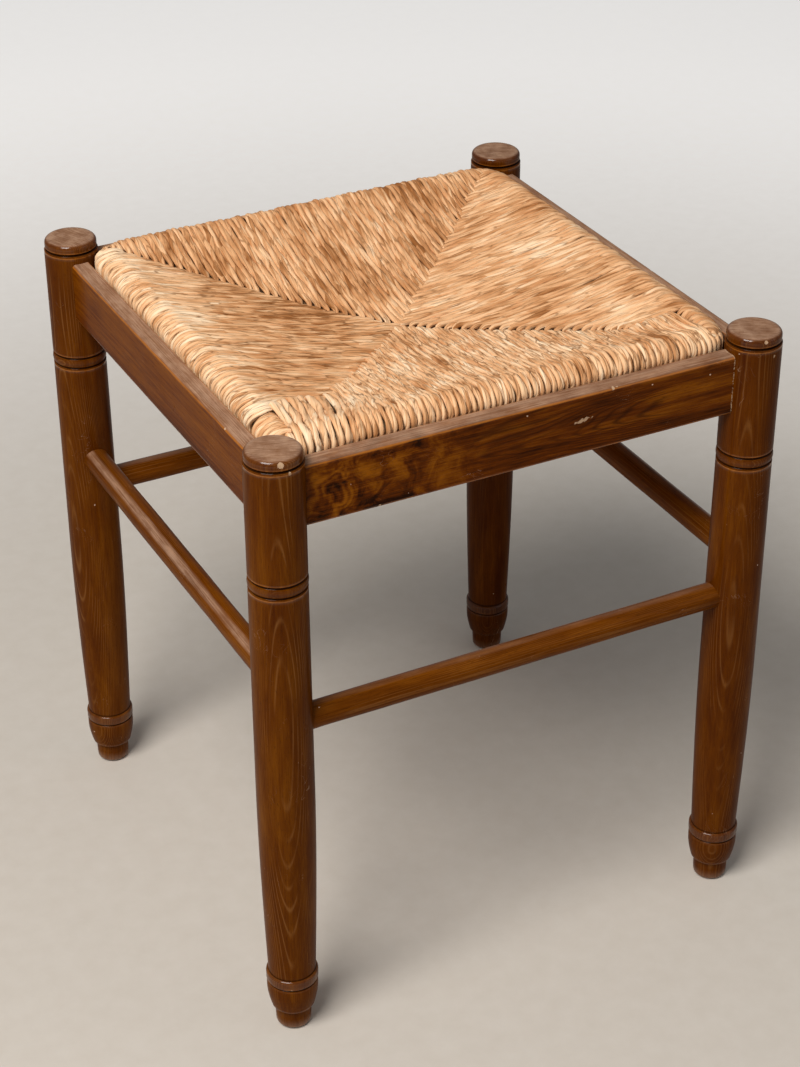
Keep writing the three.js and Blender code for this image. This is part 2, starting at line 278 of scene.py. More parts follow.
# %% [markdown]
# ## Wood figure
# Stained beech shows several things at once: thin pale lines where the lathe cuts through the
# growth rings, darker nested lines on the boards, fine dark pores along the grain, and soft
# blotches where the stain sank deeper. A picture of wood could be wrapped round each piece, but it
# would stretch on a turned shape. This pattern fills space instead, as real wood does, and each
# surface cuts through it. The pieces carry a grain place: two lengths across and one along.
#
# Growth rings are cylinders round a pith that lies outside the piece, so the first part measures
# the distance from such a pith and draws a line once a ring. On a leg they close into long flames.
# The front apron was cut near a burl, so its blotches curl, and a knot sits in them.

# %% Rings and flames
def ripple(tree, turns, power):
    """A line once a turn, the thinner the higher the power."""
    wave = calc(tree, "COSINE", times(tree, turns, math.tau))
    return calc(tree, "POWER", times(tree, wave, 0.5, 0.5), power)


def ring_line(tree, given, place):
    sway = vec(tree, "SCALE", push(tree, place, 30.0, draw=0.2), given["Waviness"])
    across = parts(tree, vec(tree, "ADD", place, vec(tree, "MULTIPLY", sway, (2, 2, 0))))
    from_pith = joined(tree, X=calc(tree, "ADD", across["X"], given["Pith Distance"]), Y=across["Y"])
    reach = vec(tree, "LENGTH", from_pith)
    line = ripple(tree, calc(tree, "DIVIDE", reach, given["Ring Pitch"]), 9.0)
    clear = between(tree, noise(tree, place, 60.0, draw=0.25), 0.38, 0.6)
    return times(tree, line, clear)


def flame_line(tree, given, place, curl):
    field = noise(tree, pushed(tree, place, curl, 0.003), 24.0, 1.5, 0.4, draw=0.13)
    nested = ripple(tree, times(tree, field, 46.0), 3.0)
    shown = between(tree, noise(tree, place, 34.0, draw=0.3), 0.36, 0.6)
    return times(tree, nested, times(tree, shown, times(tree, given["Burl"], -0.8, 1.0)))


print("lines of the wood: ring_line, flame_line")


# %% Blotches, knot and pores
KNOT_RING, NO_KNOT = 5.2 * MM, (9.0, 9.0, 9.0)


def mottle(tree, given, place, curl):
    """Curling blotches in a burl, long bands elsewhere, and rings round a dark knot."""
    burly = noise(tree, pushed(tree, place, curl, 0.02), 70.0, 6.0, 0.6, 0.4)
    burly = calc(tree, "ADD", swing(tree, burly, 1.8), 0.5)
    banded = noise(tree, pushed(tree, place, curl, 0.005), 85.0, 5.0, 0.6, draw=0.14)
    blotches = total(tree, times(tree, burly, given["Burl"]),
                     times(tree, banded, calc(tree, "SUBTRACT", 1.0, given["Burl"])))
    gap = vec(tree, "DISTANCE", pushed(tree, place, curl, 0.03), given["Knot Place"])
    near = between(tree, calc(tree, "DIVIDE", gap, given["Knot Reach"]), 0.25, 1.0, 0.12, 0.0)
    rings = times(tree, near, calc(tree, "SINE", times(tree, gap, math.tau / KNOT_RING)))
    core = between(tree, gap, 0.001, 0.0075, 0.16, 0.0)
    return calc(tree, "SUBTRACT", total(tree, blotches, rings), core)


def make_wood_figure():
    tree, given, result = group_tree(
        "wood_figure",
        {"Place": "NodeSocketVector", "Ring Pitch": 0.9 * MM, "Pith Distance": 50 * MM, "Waviness": 3 * MM,
         "Burl": 0.0, "Knot Place": NO_KNOT, "Knot Reach": 20 * MM},
        ["Figure", "Ring Line", "Fleck", "Mottle", "Scuff Line", "Flame Line", "Height"])
    place = given["Place"]
    curl = push(tree, place, 42.0, draw=0.8)
    fine = noise(tree, place, 1500.0, 2.0, 0.55, draw=0.03)
    streaks = noise(tree, place, 380.0, 3.0, 0.6, draw=0.04)
    fleck = between(tree, noise(tree, place, 2000.0, 1.0, 0.4, draw=0.13), 0.62, 0.74)
    scuffs = vec(tree, "MULTIPLY", place, (1.0, 0.05, 0.02))
    for label, value in {
            "Figure": total(tree, times(tree, fine, 0.5), times(tree, streaks, 0.5)),
            "Ring Line": ring_line(tree, given, place),
            "Fleck": fleck,
            "Mottle": mottle(tree, given, place, curl),
            "Scuff Line": noise(tree, scuffs, 1900.0, 4.0, 0.7),
            "Flame Line": flame_line(tree, given, place, curl),
            "Height": calc(tree, "SUBTRACT", fine, times(tree, fleck, 0.6))}.items():
        plug(tree, result[label], value)
    return tree


wood_figure = make_wood_figure()
print("group", wood_figure.name, "with", len(wood_figure.nodes), "nodes")

# %% [markdown]
# ## Wear
# Varnish rubs through first along edges, and grooves are painted dark for dirt and shade. Wear could be
# painted by hand, but every edge wears alike, so the pieces carry a wear value that is +1 on a proud
# edge and -1 deep in a groove. Noise breaks both up, and a second group draws sparse pale nicks and
# hair-thin scratches, each in a cell of its own so that none repeats.

# %% Wear groups
def make_edge_wear():
    tree, given, result = group_tree(
        "edge_wear", {"Place": "NodeSocketVector", "Wear": 0.0, "Amount": 0.9},
        ["Rubbed", "Shade And Dirt", "Patches"])
    patches = noise(tree, given["Place"], 80.0, 4.0, 0.62, draw=0.5)
    edge = times(tree, calc(tree, "MAXIMUM", given["Wear"], 0.0), given["Amount"])
    rubbed = between(tree, total(tree, edge, swing(tree, patches, 0.9)), 0.5, 0.95)
    # Deep in a groove the wood is painted dark, for shade and dirt
    groove = calc(tree, "MAXIMUM", times(tree, given["Wear"], -1.0), 0.0)
    plug(tree, result["Rubbed"], times(tree, rubbed, edge))
    plug(tree, result["Shade And Dirt"], times(tree, groove, times(tree, patches, 0.5, 0.6), clamp=True))
    plug(tree, result["Patches"], patches)
    return tree


def make_nicks():
    tree, given, result = group_tree(
        "nicks_and_scratches",
        {"Place": "NodeSocketVector", "Nick Spacing": 20 * MM, "Nick Size": 0.6 * MM},
        ["Nicks", "Scratches"])
    place, spacing = given["Place"], given["Nick Spacing"]
    cells = add(tree, "ShaderNodeTexVoronoi", {
        "Vector": pushed(tree, place, push(tree, place, 1200.0), 0.8 * MM),
        "Scale": calc(tree, "DIVIDE", 1.0, spacing), "Randomness": 1.0}).outputs
    pick = add(tree, "ShaderNodeSeparateColor", {"Color": cells["Color"]}).outputs
    size = times(tree, given["Nick Size"], times(tree, pick["Red"], 1.2, 0.3))
    gap = calc(tree, "DIVIDE", times(tree, cells["Distance"], spacing), size)
    some = between(tree, pick["Green"], 0.4, 0.45)
    plug(tree, result["Nicks"], times(tree, between(tree, gap, 0.7, 1.15, 1.0, 0.0), some))
    slanted = add(tree, "ShaderNodeMapping", {
        "Vector": pushed(tree, place, push(tree, place, 38.0), 30 * MM), "Rotation": (0.5, 0.35, 0.8),
        "Scale": (1.0, 1.0, 0.03)}).outputs["Vector"]
    middle = calc(tree, "ABSOLUTE", calc(tree, "SUBTRACT", noise(tree, slanted, 310.0, 0.0), 0.5))
    where = between(tree, noise(tree, place, 42.0, 1.0), 0.6, 0.68)
    plug(tree, result["Scratches"], times(tree, between(tree, middle, 0.0, 0.006, 1.0, 0.0), where))
    return tree


edge_wear, nicks_and_scratches = make_edge_wear(), make_nicks()
print("groups", edge_wear.name, nicks_and_scratches.name)

# %% [markdown]
# ## Walnut stain
# The stain is dark and very warm: almost no blue comes back from it. The finish could be one brown
# with noise, but each thing that happened to the wood shows by itself, so they are laid on in the
# order in which they happened: stain, rings, flames, pores, a thin hazy film of dust and wear with a
# painted sheen on faces that look up, painted shade and dirt in the grooves, bright orange where an
# edge is rubbed, scratches, nicks, and chips that show bare beech. The satin varnish is a coat. It
# is thin on the faces and polished by hands on the proud edges, so only those catch a sharp light. A
# piece says by its own values how calm its figure is and how much it is darkened: painted shade on
# the legs that stood in shadow, and a darker lower edge on the aprons.

# %% Stain tone
NEAR_BLACK, GROOVE_SHADE_AND_DIRT, FLAME_BROWN = (0.014, 0.0035, 0.0006), (0.008, 0.003, 0.001), (0.024, 0.0045, 0.0003)
RING_TAN, RUBBED_ORANGE = (0.27, 0.115, 0.03), (0.42, 0.135, 0.012)
SCRATCH_TAN, NICK_PALE = (0.42, 0.26, 0.16), (0.66, 0.46, 0.33)
HAZE_AND_SHEEN_DARK, HAZE_AND_SHEEN_PALE = (0.22, 0.105, 0.055), (0.50, 0.31, 0.20)
BARE_TAN, BARE_PALE = (0.32, 0.18, 0.09), (0.62, 0.43, 0.28)


def stain_tone(tree, wood, tones, calm, painted_shade_and_low_edge, mottling, streaks, darkening, ring_strength, flame):
    """The stained wood itself: its blotches and streaks, painted shade on the legs and a darker apron
    bottom, then rings, flames and pores.
    """
    dark, middle, light = tones
    blotches = times(tree, calc(tree, "SUBTRACT", wood["Mottle"], 0.5),
                     times(tree, calm, -0.75 * mottling, mottling))
    share = total(tree, blotches, times(tree, calm, 0.07, 0.5), swing(tree, wood["Figure"], streaks))
    # Painted shade darkens the legs that stood in shadow, and the aprons turn darker toward the bottom
    share = calc(tree, "SUBTRACT", share, times(tree, painted_shade_and_low_edge, darkening), clamp=True)
    half_light = tuple(0.6 * deep + 0.4 * pale for deep, pale in zip(middle, light))
    colour = colour_steps(tree, share, [(0.12, dark), (0.46, middle), (0.64, half_light), (0.9, light)])
    # Ring lines fade where the painted shade darkens the wood
    rings_shown = times(tree, painted_shade_and_low_edge, -0.6 * ring_strength, ring_strength)
    flames_shown = times(tree, calm, -0.9 * flame, flame)
    return paint_over(
        tree, colour,
        (times(tree, wood["Ring Line"], rings_shown), RING_TAN),
        (times(tree, wood["Flame Line"], flames_shown), FLAME_BROWN),
        (times(tree, wood["Fleck"], 0.35), NEAR_BLACK))


def haze_and_sheen_layer(tree, wood, patches):
    """How much haze of dust and wear with a painted sheen lies on the wood, and its tone, scuffed across the
    grain.
    """
    scuffed = total(tree, wood["Scuff Line"], swing(tree, patches, 0.5))
    tone = blend_colour(tree, between(tree, scuffed, 0.3, 0.72), HAZE_AND_SHEEN_DARK, HAZE_AND_SHEEN_PALE)
    lies = times(tree, patches, 0.5, 0.45)
    return times(tree, named(tree, "haze_and_sheen"), lies, clamp=True), tone


def chip_layer(tree, place):
    """Where a chip shows bare beech, with a ragged edge, and the beech's tone."""
    ragged = total(tree, named(tree, "bare"), swing(tree, noise(tree, place, 900.0, 3.0, 0.65), 1.5))
    tone = blend_colour(tree, noise(tree, place, 900.0, draw=0.1), BARE_TAN, BARE_PALE)
    return between(tree, ragged, 0.42, 0.6), tone


print("stain colours from", NEAR_BLACK, "to", NICK_PALE)

# %% Walnut stain
WARM_GLINT = (1.0, 0.5, 0.16, 1.0)


def make_walnut(name, dark, middle, light, ring_pitch, pith, waviness, mottling, ring_strength,
                streaks=1.1, burl_end=None, knot=NO_KNOT, darkening=0.0, flame=0.0):
    material, tree, shader = new_material(name)
    place = named(tree, "grain", "Vector")
    burl = 0.0
    if burl_end is not None:
        burl = between(tree, parts(tree, place)["Z"], burl_end - 50 * MM, burl_end + 40 * MM, 1.0, 0.0)
    wood = use_group(tree, wood_figure, place=place, ring_pitch=ring_pitch, pith_distance=pith,
                     waviness=waviness, knot_place=knot, knot_reach=22 * MM, burl=burl)
    rubbing = use_group(tree, edge_wear, place=place, wear=named(tree, "wear"), amount=0.95)
    marks = use_group(tree, nicks_and_scratches, place=place, nick_spacing=16 * MM, nick_size=0.45 * MM)
    colour = stain_tone(tree, wood, (dark, middle, light), named(tree, "calm"), named(tree, "painted_shade_and_low_edge"),
                        mottling, streaks, darkening, ring_strength, flame)
    chipped, bare_tone = chip_layer(tree, place)
    colour = paint_over(
        tree, colour,
        haze_and_sheen_layer(tree, wood, rubbing["Patches"]),
        (rubbing["Shade And Dirt"], GROOVE_SHADE_AND_DIRT),
        (times(tree, rubbing["Rubbed"], 0.85), RUBBED_ORANGE),
        (times(tree, marks["Scratches"], 0.4), SCRATCH_TAN),
        (marks["Nicks"], NICK_PALE),
        (chipped, bare_tone))
    plug(tree, shader.inputs["Base Color"], colour)
    smear = noise(tree, place, 30.0, 4.0, 0.6)
    dull = calc(tree, "ADD", chipped, rubbing["Shade And Dirt"], clamp=True)
    plug(tree, shader.inputs["Roughness"], times(tree, smear, 0.24, times(tree, dull, 0.35, 0.2)))
    shader.inputs["Specular IOR Level"].default_value = 0.015
    shader.inputs["Specular Tint"].default_value = WARM_GLINT
    polish = between(tree, named(tree, "wear"), 0.22, 0.5, 0.09, 0.62)
    plug(tree, shader.inputs["Coat Weight"], times(tree, polish, calc(tree, "SUBTRACT", 1.0, chipped)))
    shader.inputs["Coat Roughness"].default_value = 0.12
    relief = calc(tree, "SUBTRACT", wood["Height"], times(tree, chipped, 1.6))
    set_bump(tree, shader, total(tree, relief, times(tree, smear, 1.5)), 0.3, 0.1 * MM)
    return material


leg_walnut = make_walnut(
    "walnut_stain_legs", (0.052, 0.0095, 0.0003), (0.095, 0.0225, 0.0004), (0.175, 0.053, 0.002),
    ring_pitch=0.9 * MM, pith=60 * MM, waviness=0.9 * MM, mottling=1.1, ring_strength=0.42,
    streaks=0.85, darkening=0.2)
apron_walnut = make_walnut(
    "walnut_stain_aprons", (0.016, 0.003, 0.0002), (0.106, 0.0215, 0.0004), (0.265, 0.079, 0.0026),
    ring_pitch=3.1 * MM, pith=50 * MM, waviness=4 * MM, mottling=1.55, ring_strength=0.08,
    burl_end=-45 * MM, knot=(-177.3 * MM, 411.5 * MM, -138 * MM), darkening=0.22, flame=0.75)
rung_walnut = make_walnut(
    "walnut_stain_rungs", (0.052, 0.011, 0.0004), (0.112, 0.028, 0.001), (0.21, 0.064, 0.004),
    ring_pitch=1.1 * MM, pith=20 * MM, waviness=1.2 * MM, mottling=0.9, ring_strength=0.35)
print("walnut finishes:", leg_walnut.name, apron_walnut.name, rung_walnut.name)

# %% [markdown]
# ## Meshes from rings
# The turned legs and the rungs are lathe work: one outline, repeated round an axis. A Screw
# modifier could turn it, but writing the rings by hand gives each point its own wear value and
# grain place, which a modifier can't.

# %% Mesh helpers
SHARP_ANGLE = math.radians(38)


def store_values(mesh, values):
    """Stores numbers or vectors at the points of a mesh, for the finish to read."""
    for key, data in values.items():
        data = np.asarray(data, np.float32)
        kind, field = ("FLOAT_VECTOR", "vector") if data.ndim == 2 else ("FLOAT", "value")
        mesh.attributes.new(key, kind, "POINT").data.foreach_set(field, data.ravel())


def mesh_piece(name, points, faces, material, values):
    mesh = bpy.data.meshes.new(name)
    mesh.from_pydata([tuple(p) for p in points], [], faces)
    store_values(mesh, values)
    work = bmesh.new()
    work.from_mesh(mesh)
    bmesh.ops.recalc_face_normals(work, faces=work.faces)
    for edge in work.edges:
        edge.smooth = edge.calc_face_angle(0.0) < SHARP_ANGLE
    for face in work.faces:
        face.smooth = True
    work.to_mesh(mesh)
    work.free()
    mesh.materials.append(material)
    piece = bpy.data.objects.new(name, mesh)
    scene.collection.objects.link(piece)
    return piece


print("edges sharper than", round(math.degrees(SHARP_ANGLE)), "degrees stay sharp")


# %% Lathe helpers
def ring_faces(rings, around):
    faces = []
    for ring in range(rings - 1):
        for step in range(around):
            after = (step + 1) % around
            faces.append((ring * around + step, ring * around + after,
                          (ring + 1) * around + after, (ring + 1) * around + step))
    return faces


def lathed(radii, heights, around):
    """An outline turned round Z; its first and last points lie on the axis and close it."""
    angles = np.arange(around) * math.tau / around
    rings = np.column_stack([
        np.outer(radii[1:-1], np.cos(angles)).ravel(), np.outer(radii[1:-1], np.sin(angles)).ravel(),
        np.repeat(heights[1:-1], around)])
    points = np.vstack([rings, [[0, 0, heights[0]], [0, 0, heights[-1]]]])
    faces = ring_faces(len(radii) - 2, around)
    first, second = len(rings), len(rings) + 1
    last_ring = len(rings) - around
    for step in range(around):
        after = (step + 1) % around
        faces += [(first, after, step), (second, last_ring + step, last_ring + after)]
    return points, faces


def rounded(across, up, radius, start, end, steps, wear):
    """Points of an outline round a centre, with one wear value for all or one for each."""
    angles = np.radians(np.linspace(start, end, steps + 1))
    values = np.broadcast_to(wear, len(angles))
    return [(across + radius * math.cos(a), up + radius * math.sin(a), w) for a, w in zip(angles, values)]


print("a lathed disc of 8 sides has", len(lathed([0, 1, 1, 0], [0, 0, 1, 1], 8)[1]), "faces")

# %% [markdown]
# ## Legs
# One leg is turned from a single blank: a small foot, a cup, a bead at the ankle, a long taper
# that swells to the knee, a pair of grooves below the apron and a shallow cap. A coarse outline
# with a bevel would soften all edges alike. Here the outline follows the solid model's sizes with
# many more steps, so that each groove and round reads as turned wood, and every point says how
# worn it is.

# %% Leg sizes
LEG_LOW, LEG_HIGH = box_mm("leg_front_left")
LEG_HEIGHT, LEG_AXIS, BELLY = LEG_HIGH[2], -(LEG_LOW[0] + LEG_HIGH[0]) / 2, (LEG_HIGH[0] - LEG_LOW[0]) / 2
SHOULDER, CAP, CAP_ROUND = 18.8, 18.2, 3.2
NECK, BEAD, CUP, CUP_FOOT = 16.2, 17.8, 17.5, 14.8
FOOT_RADIUS, FOOT_ROUND, FOOT_HEIGHT = 12.1, 3.0, 16.6
BEAD_TOP, TAPER_TOP = 47.1, 197.1
BEAD_LOW_ROUND, BEAD_HIGH_ROUND = 1.2, 1.9
GROOVE_WIDTH, GROOVE_DEPTH, GROOVE_RUN_IN, GROOVE_RUN_OUT = 2.4, 1.3, 2.2, 1.8
LIP_DEPTH, LIP_WIDTH = 0.12, 0.4
GROOVES = (355.1, 362.5, 442.6)
print("leg:", LEG_HEIGHT, "mm high, its axis", LEG_AXIS, "mm from the middle, belly", round(BELLY, 2), "mm")


# %% Leg outline
# Every point of the outline is its distance from the axis, its height and how worn it is
def groove_points(radius, height, upper_radius):
    """A round groove between two worn lips, with a point before and after for even shading."""
    half = GROOVE_WIDTH / 2
    low, high = height - half, height + half
    points = []
    for share in np.linspace(-1.0, 1.0, 9):
        depth = GROOVE_DEPTH * math.cos(share * math.pi / 2) ** 0.7
        side = radius if share < 0 else upper_radius
        points.append((side - depth, height + share * half, -1.0 if abs(share) < 0.6 else 0.1))
    return [(radius, low - GROOVE_RUN_IN, 0.32), (radius - LIP_DEPTH, low - LIP_WIDTH, 0.95), *points,
            (upper_radius - LIP_DEPTH, high + LIP_WIDTH, 0.8), (upper_radius, high + GROOVE_RUN_OUT, 0.1)]


def foot_and_cup():
    """From the floor to the neck above the bead."""
    points = [(0.0, 0.0, 0.0), (5.0, 0.0, 0.0)]
    points += rounded(FOOT_RADIUS - FOOT_ROUND, FOOT_ROUND, FOOT_ROUND, -90, 0, 5, 0.5)
    # Where the foot meets the cup, a wear under zero paints shade and dirt
    points += [(12.3, 9.0, 0.1), (12.55, 14.6, 0.0), (12.6, 16.1, -0.7), (12.9, FOOT_HEIGHT, -1.0),
               (14.4, FOOT_HEIGHT, 0.2), (CUP_FOOT, 16.9, 0.7)]
    for share in np.linspace(0.12, 1.0, 8):
        swell = math.sin(math.pi / 2 * share)
        wear = 0.1 if share < 0.9 else 0.0
        points.append((CUP_FOOT + (CUP - CUP_FOOT) * swell, 17.0 + 16.4 * share, wear))
    points += [(CUP, 37.3, 0.3), (CUP - 0.15, 37.9, 0.6), (CUP - 0.9, 38.5, -1.0), (CUP - 0.8, 38.9, -1.0)]
    points += rounded(BEAD - BEAD_LOW_ROUND, 40.6, BEAD_LOW_ROUND, -60, 0, 4, 0.6)
    points += [(BEAD, 43.0, 0.4)]
    points += rounded(BEAD - BEAD_HIGH_ROUND, 45.1, BEAD_HIGH_ROUND, 0, 80, 6, 0.5)
    return points + [(NECK + 0.12, BEAD_TOP, -1.0), (NECK - 0.1, BEAD_TOP + 0.35, -0.8)]


def run(start, end, shares):
    """Plain points between two points of the outline."""
    return [(start[0] + (end[0] - start[0]) * s, start[1] + (end[1] - start[1]) * s, 0.0) for s in shares]


def leg_outline():
    points = foot_and_cup()
    for share in np.linspace(0.01, 1.0, 76):
        swell = math.sin(math.pi / 2 * share)
        points.append((NECK + (BELLY - NECK) * swell, BEAD_TOP + (TAPER_TOP - BEAD_TOP) * share, 0.0))
    run_in = GROOVE_WIDTH / 2 + GROOVE_RUN_IN
    points += run((BELLY, TAPER_TOP), (SHOULDER, GROOVES[0] - run_in), np.linspace(0.02, 0.98, 78))
    points += groove_points(SHOULDER, GROOVES[0], SHOULDER)[:-2]
    for share in np.linspace(0.08, 0.92, 9):
        bulge = 0.62 * math.sin(math.pi * share) ** 0.8 - 0.3
        points.append((SHOULDER + bulge, GROOVES[0] + 1.3 + (GROOVES[1] - GROOVES[0] - 2.6) * share, 0.35))
    points += groove_points(SHOULDER, GROOVES[1], SHOULDER)[2:]
    top_run = (SHOULDER, GROOVES[2] - run_in)
    points += run((SHOULDER, GROOVES[1] + 3.2), top_run, np.linspace(0.03, 0.97, 40))
    points += groove_points(SHOULDER, GROOVES[2], CAP)[:-1] + [(CAP, 445.4, 0.3)]
    points += rounded(CAP - CAP_ROUND, LEG_HEIGHT - CAP_ROUND, CAP_ROUND, 0, 90, 10, 0.5)
    points += [(CAP - 4.4, LEG_HEIGHT, 0.15), *[(across, LEG_HEIGHT, 0.0) for across in (9.0, 4.0, 0.0)]]
    return [p for i, p in enumerate(points) if i == 0 or math.dist(p[:2], points[i - 1][:2]) > 0.02]


outline = leg_outline()
print("leg outline:", len(outline), "points from", outline[0][1], "to", outline[-1][1], "mm")

# %% [markdown]
# A turned piece isn't perfect, and this one has been used. Chips could be painted only, but their
# edges catch the light, so a few are pressed into the mesh where the photograph shows them: the
# point moves in a little and its bare value rises, which the finish turns into pale wood. The
# grain of each blank is bowed a little, which closes the flames at both ends of the leg.

# %% Build the legs
def chip(points, bare, centre, reach, depth, inward):
    gap = np.linalg.norm(points - np.array(centre), axis=1) / reach
    press = np.clip(1.0 - gap ** 2, 0.0, 1.0)
    points += np.array(inward) * (depth * press ** 0.7)[:, None]
    return np.maximum(bare, np.clip(1.25 * press, 0.0, 1.0))


LEG_SIDES = 96
GRAIN_BOW, BOW_LENGTH = 1.9, 60.0
# Each leg's corner, the side and height at which its flames lie, how much painted shade darkens it
# where it stood in shadow, and its chips: centre, reach, depth and the direction in which they are pressed
LEGS = {
    "front_left": (-1, -1, 248.0, 262.0, 0.0, [
        ((-174.1, -188.6, 447.6), 2.6, 0.5, (0.15, 0.8, -0.4)),
        ((-168.7, -189.0, 440.9), 1.6, 0.25, (0, 1, 0)),
        ((-179.0, -187.6, 39.5), 1.7, 0.25, (0.3, 0.9, 0))]),
    "front_right": (1, -1, 236.0, 246.0, 0.5, [
        ((168.0, -188.2, 447.7), 1.8, 0.3, (0, 0.8, -0.5)), ((174.5, -188.6, 436.3), 1.8, 0.2, (0, 1, 0))]),
    "back_right": (1, 1, 60.0, 230.0, 1.0, [((181.0, 186.0, 41.0), 1.6, 0.2, (0, -1, 0))]),
    "back_left": (-1, 1, 205.0, 214.0, 0.1, [((-160.0, 184.0, 446.5), 1.5, 0.2, (0, -1, 0))]),
}
dice = np.random.default_rng(41)
radii, heights, edge_values = np.array(outline).T
leg_wear = np.concatenate([np.repeat(edge_values[1:-1], LEG_SIDES), [0, 0]])
for corner, (side_x, side_y, flame_side, flame_height, painted_shade_and_low_edge, chips) in LEGS.items():
    points, faces = lathed(radii, heights, LEG_SIDES)
    up = points[:, 2].copy()
    turn = math.radians(-flame_side)
    grain = np.column_stack([
        points[:, 0] * math.cos(turn) - points[:, 1] * math.sin(turn),
        points[:, 0] * math.sin(turn) + points[:, 1] * math.cos(turn), up + dice.uniform(-300, 300)])
    grain[:, 0] -= GRAIN_BOW * (1.0 - np.cos((up - flame_height) / BOW_LENGTH))
    # Haze of dust with a painted sheen lies on the cap, and the foot is scuffed by the floor
    haze_and_sheen = np.clip((up - (LEG_HEIGHT - 1.0)) / 0.9, 0, 1) + 0.8 * np.clip((4.0 - up) / 3.0, 0, 1)
    points += np.array([side_x * LEG_AXIS, side_y * LEG_AXIS, 0.0])
    bare = np.zeros(len(points))
    for place, reach, depth, inward in chips:
        bare = chip(points, bare, place, reach, depth, inward)
    # Each leg carries its painted shade at every point
    leg = mesh_piece(f"turned_leg_{corner}", points * MM, faces, leg_walnut,
                     {"grain": grain * MM, "wear": leg_wear, "bare": bare, "haze_and_sheen": haze_and_sheen,
                      "painted_shade_and_low_edge": np.full(len(points), painted_shade_and_low_edge)})
    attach(leg, "frame")
    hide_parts(f"leg_{corner}")
print("legs:", len(leg.data.polygons), "faces each")

# %% [markdown]
# ## Aprons
# Each apron is a board with a rounded top outer edge and a rebate inside that the seat rests in.
# Its ends are hollowed to fit round the legs. A board cut by a boolean would have ragged ends, so
# the section is drawn in narrow strips across, and every end point is pushed back to the leg's own
# curve. Many stations along the board give the finish enough points for worn edges.

# %% Apron section
APRON_LOW, APRON_HIGH = box_mm("apron_front")
APRON_OUTER, APRON_INNER = -APRON_LOW[1], -APRON_HIGH[1]
APRON_BOTTOM, APRON_TOP = APRON_LOW[2], APRON_HIGH[2]
APRON_WALL, LEDGE = 165.2, 414.5
TOP_ROUND, LIP_ROUND, LEDGE_ROUND, INNER_ROUND, OUTER_ROUND = 3.0, 0.5, 0.6, 1.0, 1.2
TOP_ROUND_WEAR = (0.15, 0.55, 0.95, 0.85, 0.5, 0.25, 0.1, 0.0)


def apron_outline():
    return [
        *rounded(APRON_OUTER - TOP_ROUND, APRON_TOP - TOP_ROUND, TOP_ROUND, 0, 90, 7, TOP_ROUND_WEAR),
        *[(y, APRON_TOP, 0.0) for y in (173.6, 172.4, 170.6, 168.8, 167.0)],
        *rounded(APRON_WALL + LIP_ROUND, APRON_TOP - LIP_ROUND, LIP_ROUND, 90, 180, 3, 0.8),
        *[(APRON_WALL, z, 0.0) for z in (430.0, 422.0, LEDGE)],
        *[(y, LEDGE, 0.0) for y in (163.0, 160.6)],
        *rounded(APRON_INNER + LEDGE_ROUND, LEDGE - LEDGE_ROUND, LEDGE_ROUND, 90, 180, 3, 0.4),
        *[(APRON_INNER, z, 0.0) for z in (410.0, 404.0, 398.0)],
        *rounded(APRON_INNER + INNER_ROUND, APRON_BOTTOM + INNER_ROUND, INNER_ROUND, 180, 270, 3, 0.6),
        *[(y, APRON_BOTTOM, 0.0) for y in np.arange(161.0, 176.0, 2.0)],
        *rounded(APRON_OUTER - OUTER_ROUND, APRON_BOTTOM + OUTER_ROUND, OUTER_ROUND, -90, 0, 4, 0.8),
        *[(APRON_OUTER, z, 0.0) for z in np.linspace(396.6, 432.6, 25)]]


apron_shape = apron_outline()
print("apron outline:", len(apron_shape), "points")

# %% Apron mesh
SIDES = {"front": 0, "right": 90, "back": 180, "left": -90}
JOINT_GAP, APRON_STATIONS = 0.15, 201
END_SHARES = (0.99, 0.996, 0.9985, 1)


def side_turn(side):
    """The matrix that turns rows of points from the front to another side."""
    sine, cosine = math.sin(math.radians(SIDES[side])), math.cos(math.radians(SIDES[side]))
    return np.array([[cosine, sine, 0], [-sine, cosine, 0], [0, 0, 1]])


def board_faces(points, section):
    """The strips between the stations, and both ends closed in triangles that follow the hollow."""
    count = len(section)
    work = bmesh.new()
    verts = [work.verts.new(p * MM) for p in points]
    work.verts.index_update()
    for face in ring_faces(len(points) // count, count):
        work.faces.new([verts[i] for i in face])
    flat = [Vector((across, up, 0.0)) for across, up, _ in section]
    for start in (0, len(points) - count):
        for corners in tessellate_polygon([flat]):
            work.faces.new([verts[start + i] for i in corners])
    bmesh.ops.recalc_face_normals(work, faces=work.faces)
    faces = [tuple(v.index for v in f.verts) for f in work.faces]
    work.free()
    return faces


inner_shares = np.linspace(-1, 1, APRON_STATIONS)[1:-1]
shares = np.concatenate([-np.array(END_SHARES[::-1]), inner_shares, END_SHARES])
across, up, edge_values = np.array(apron_shape).T
reach = LEG_AXIS - np.sqrt((SHOULDER + JOINT_GAP) ** 2 - (across - LEG_AXIS) ** 2)
along = np.outer(shares, reach).ravel()
wide, high, apron_wear = (np.tile(values, len(shares)) for values in (across, up, edge_values))
# The top strip of each apron gets a haze of dust with a painted sheen
top_haze_and_sheen = np.clip((high - (APRON_TOP - 1.6)) / 1.4, 0, 1)
# Each apron turns darker over its lowest 9 mm
darker_toward_bottom = np.clip((APRON_BOTTOM + 9.0 - high) / 9.0, 0, 1)
glue_line = np.repeat(np.where(shares > 0.9955, 0.5, 0.0), len(across))
print("apron mesh:", len(along), "points at", len(shares), "stations")

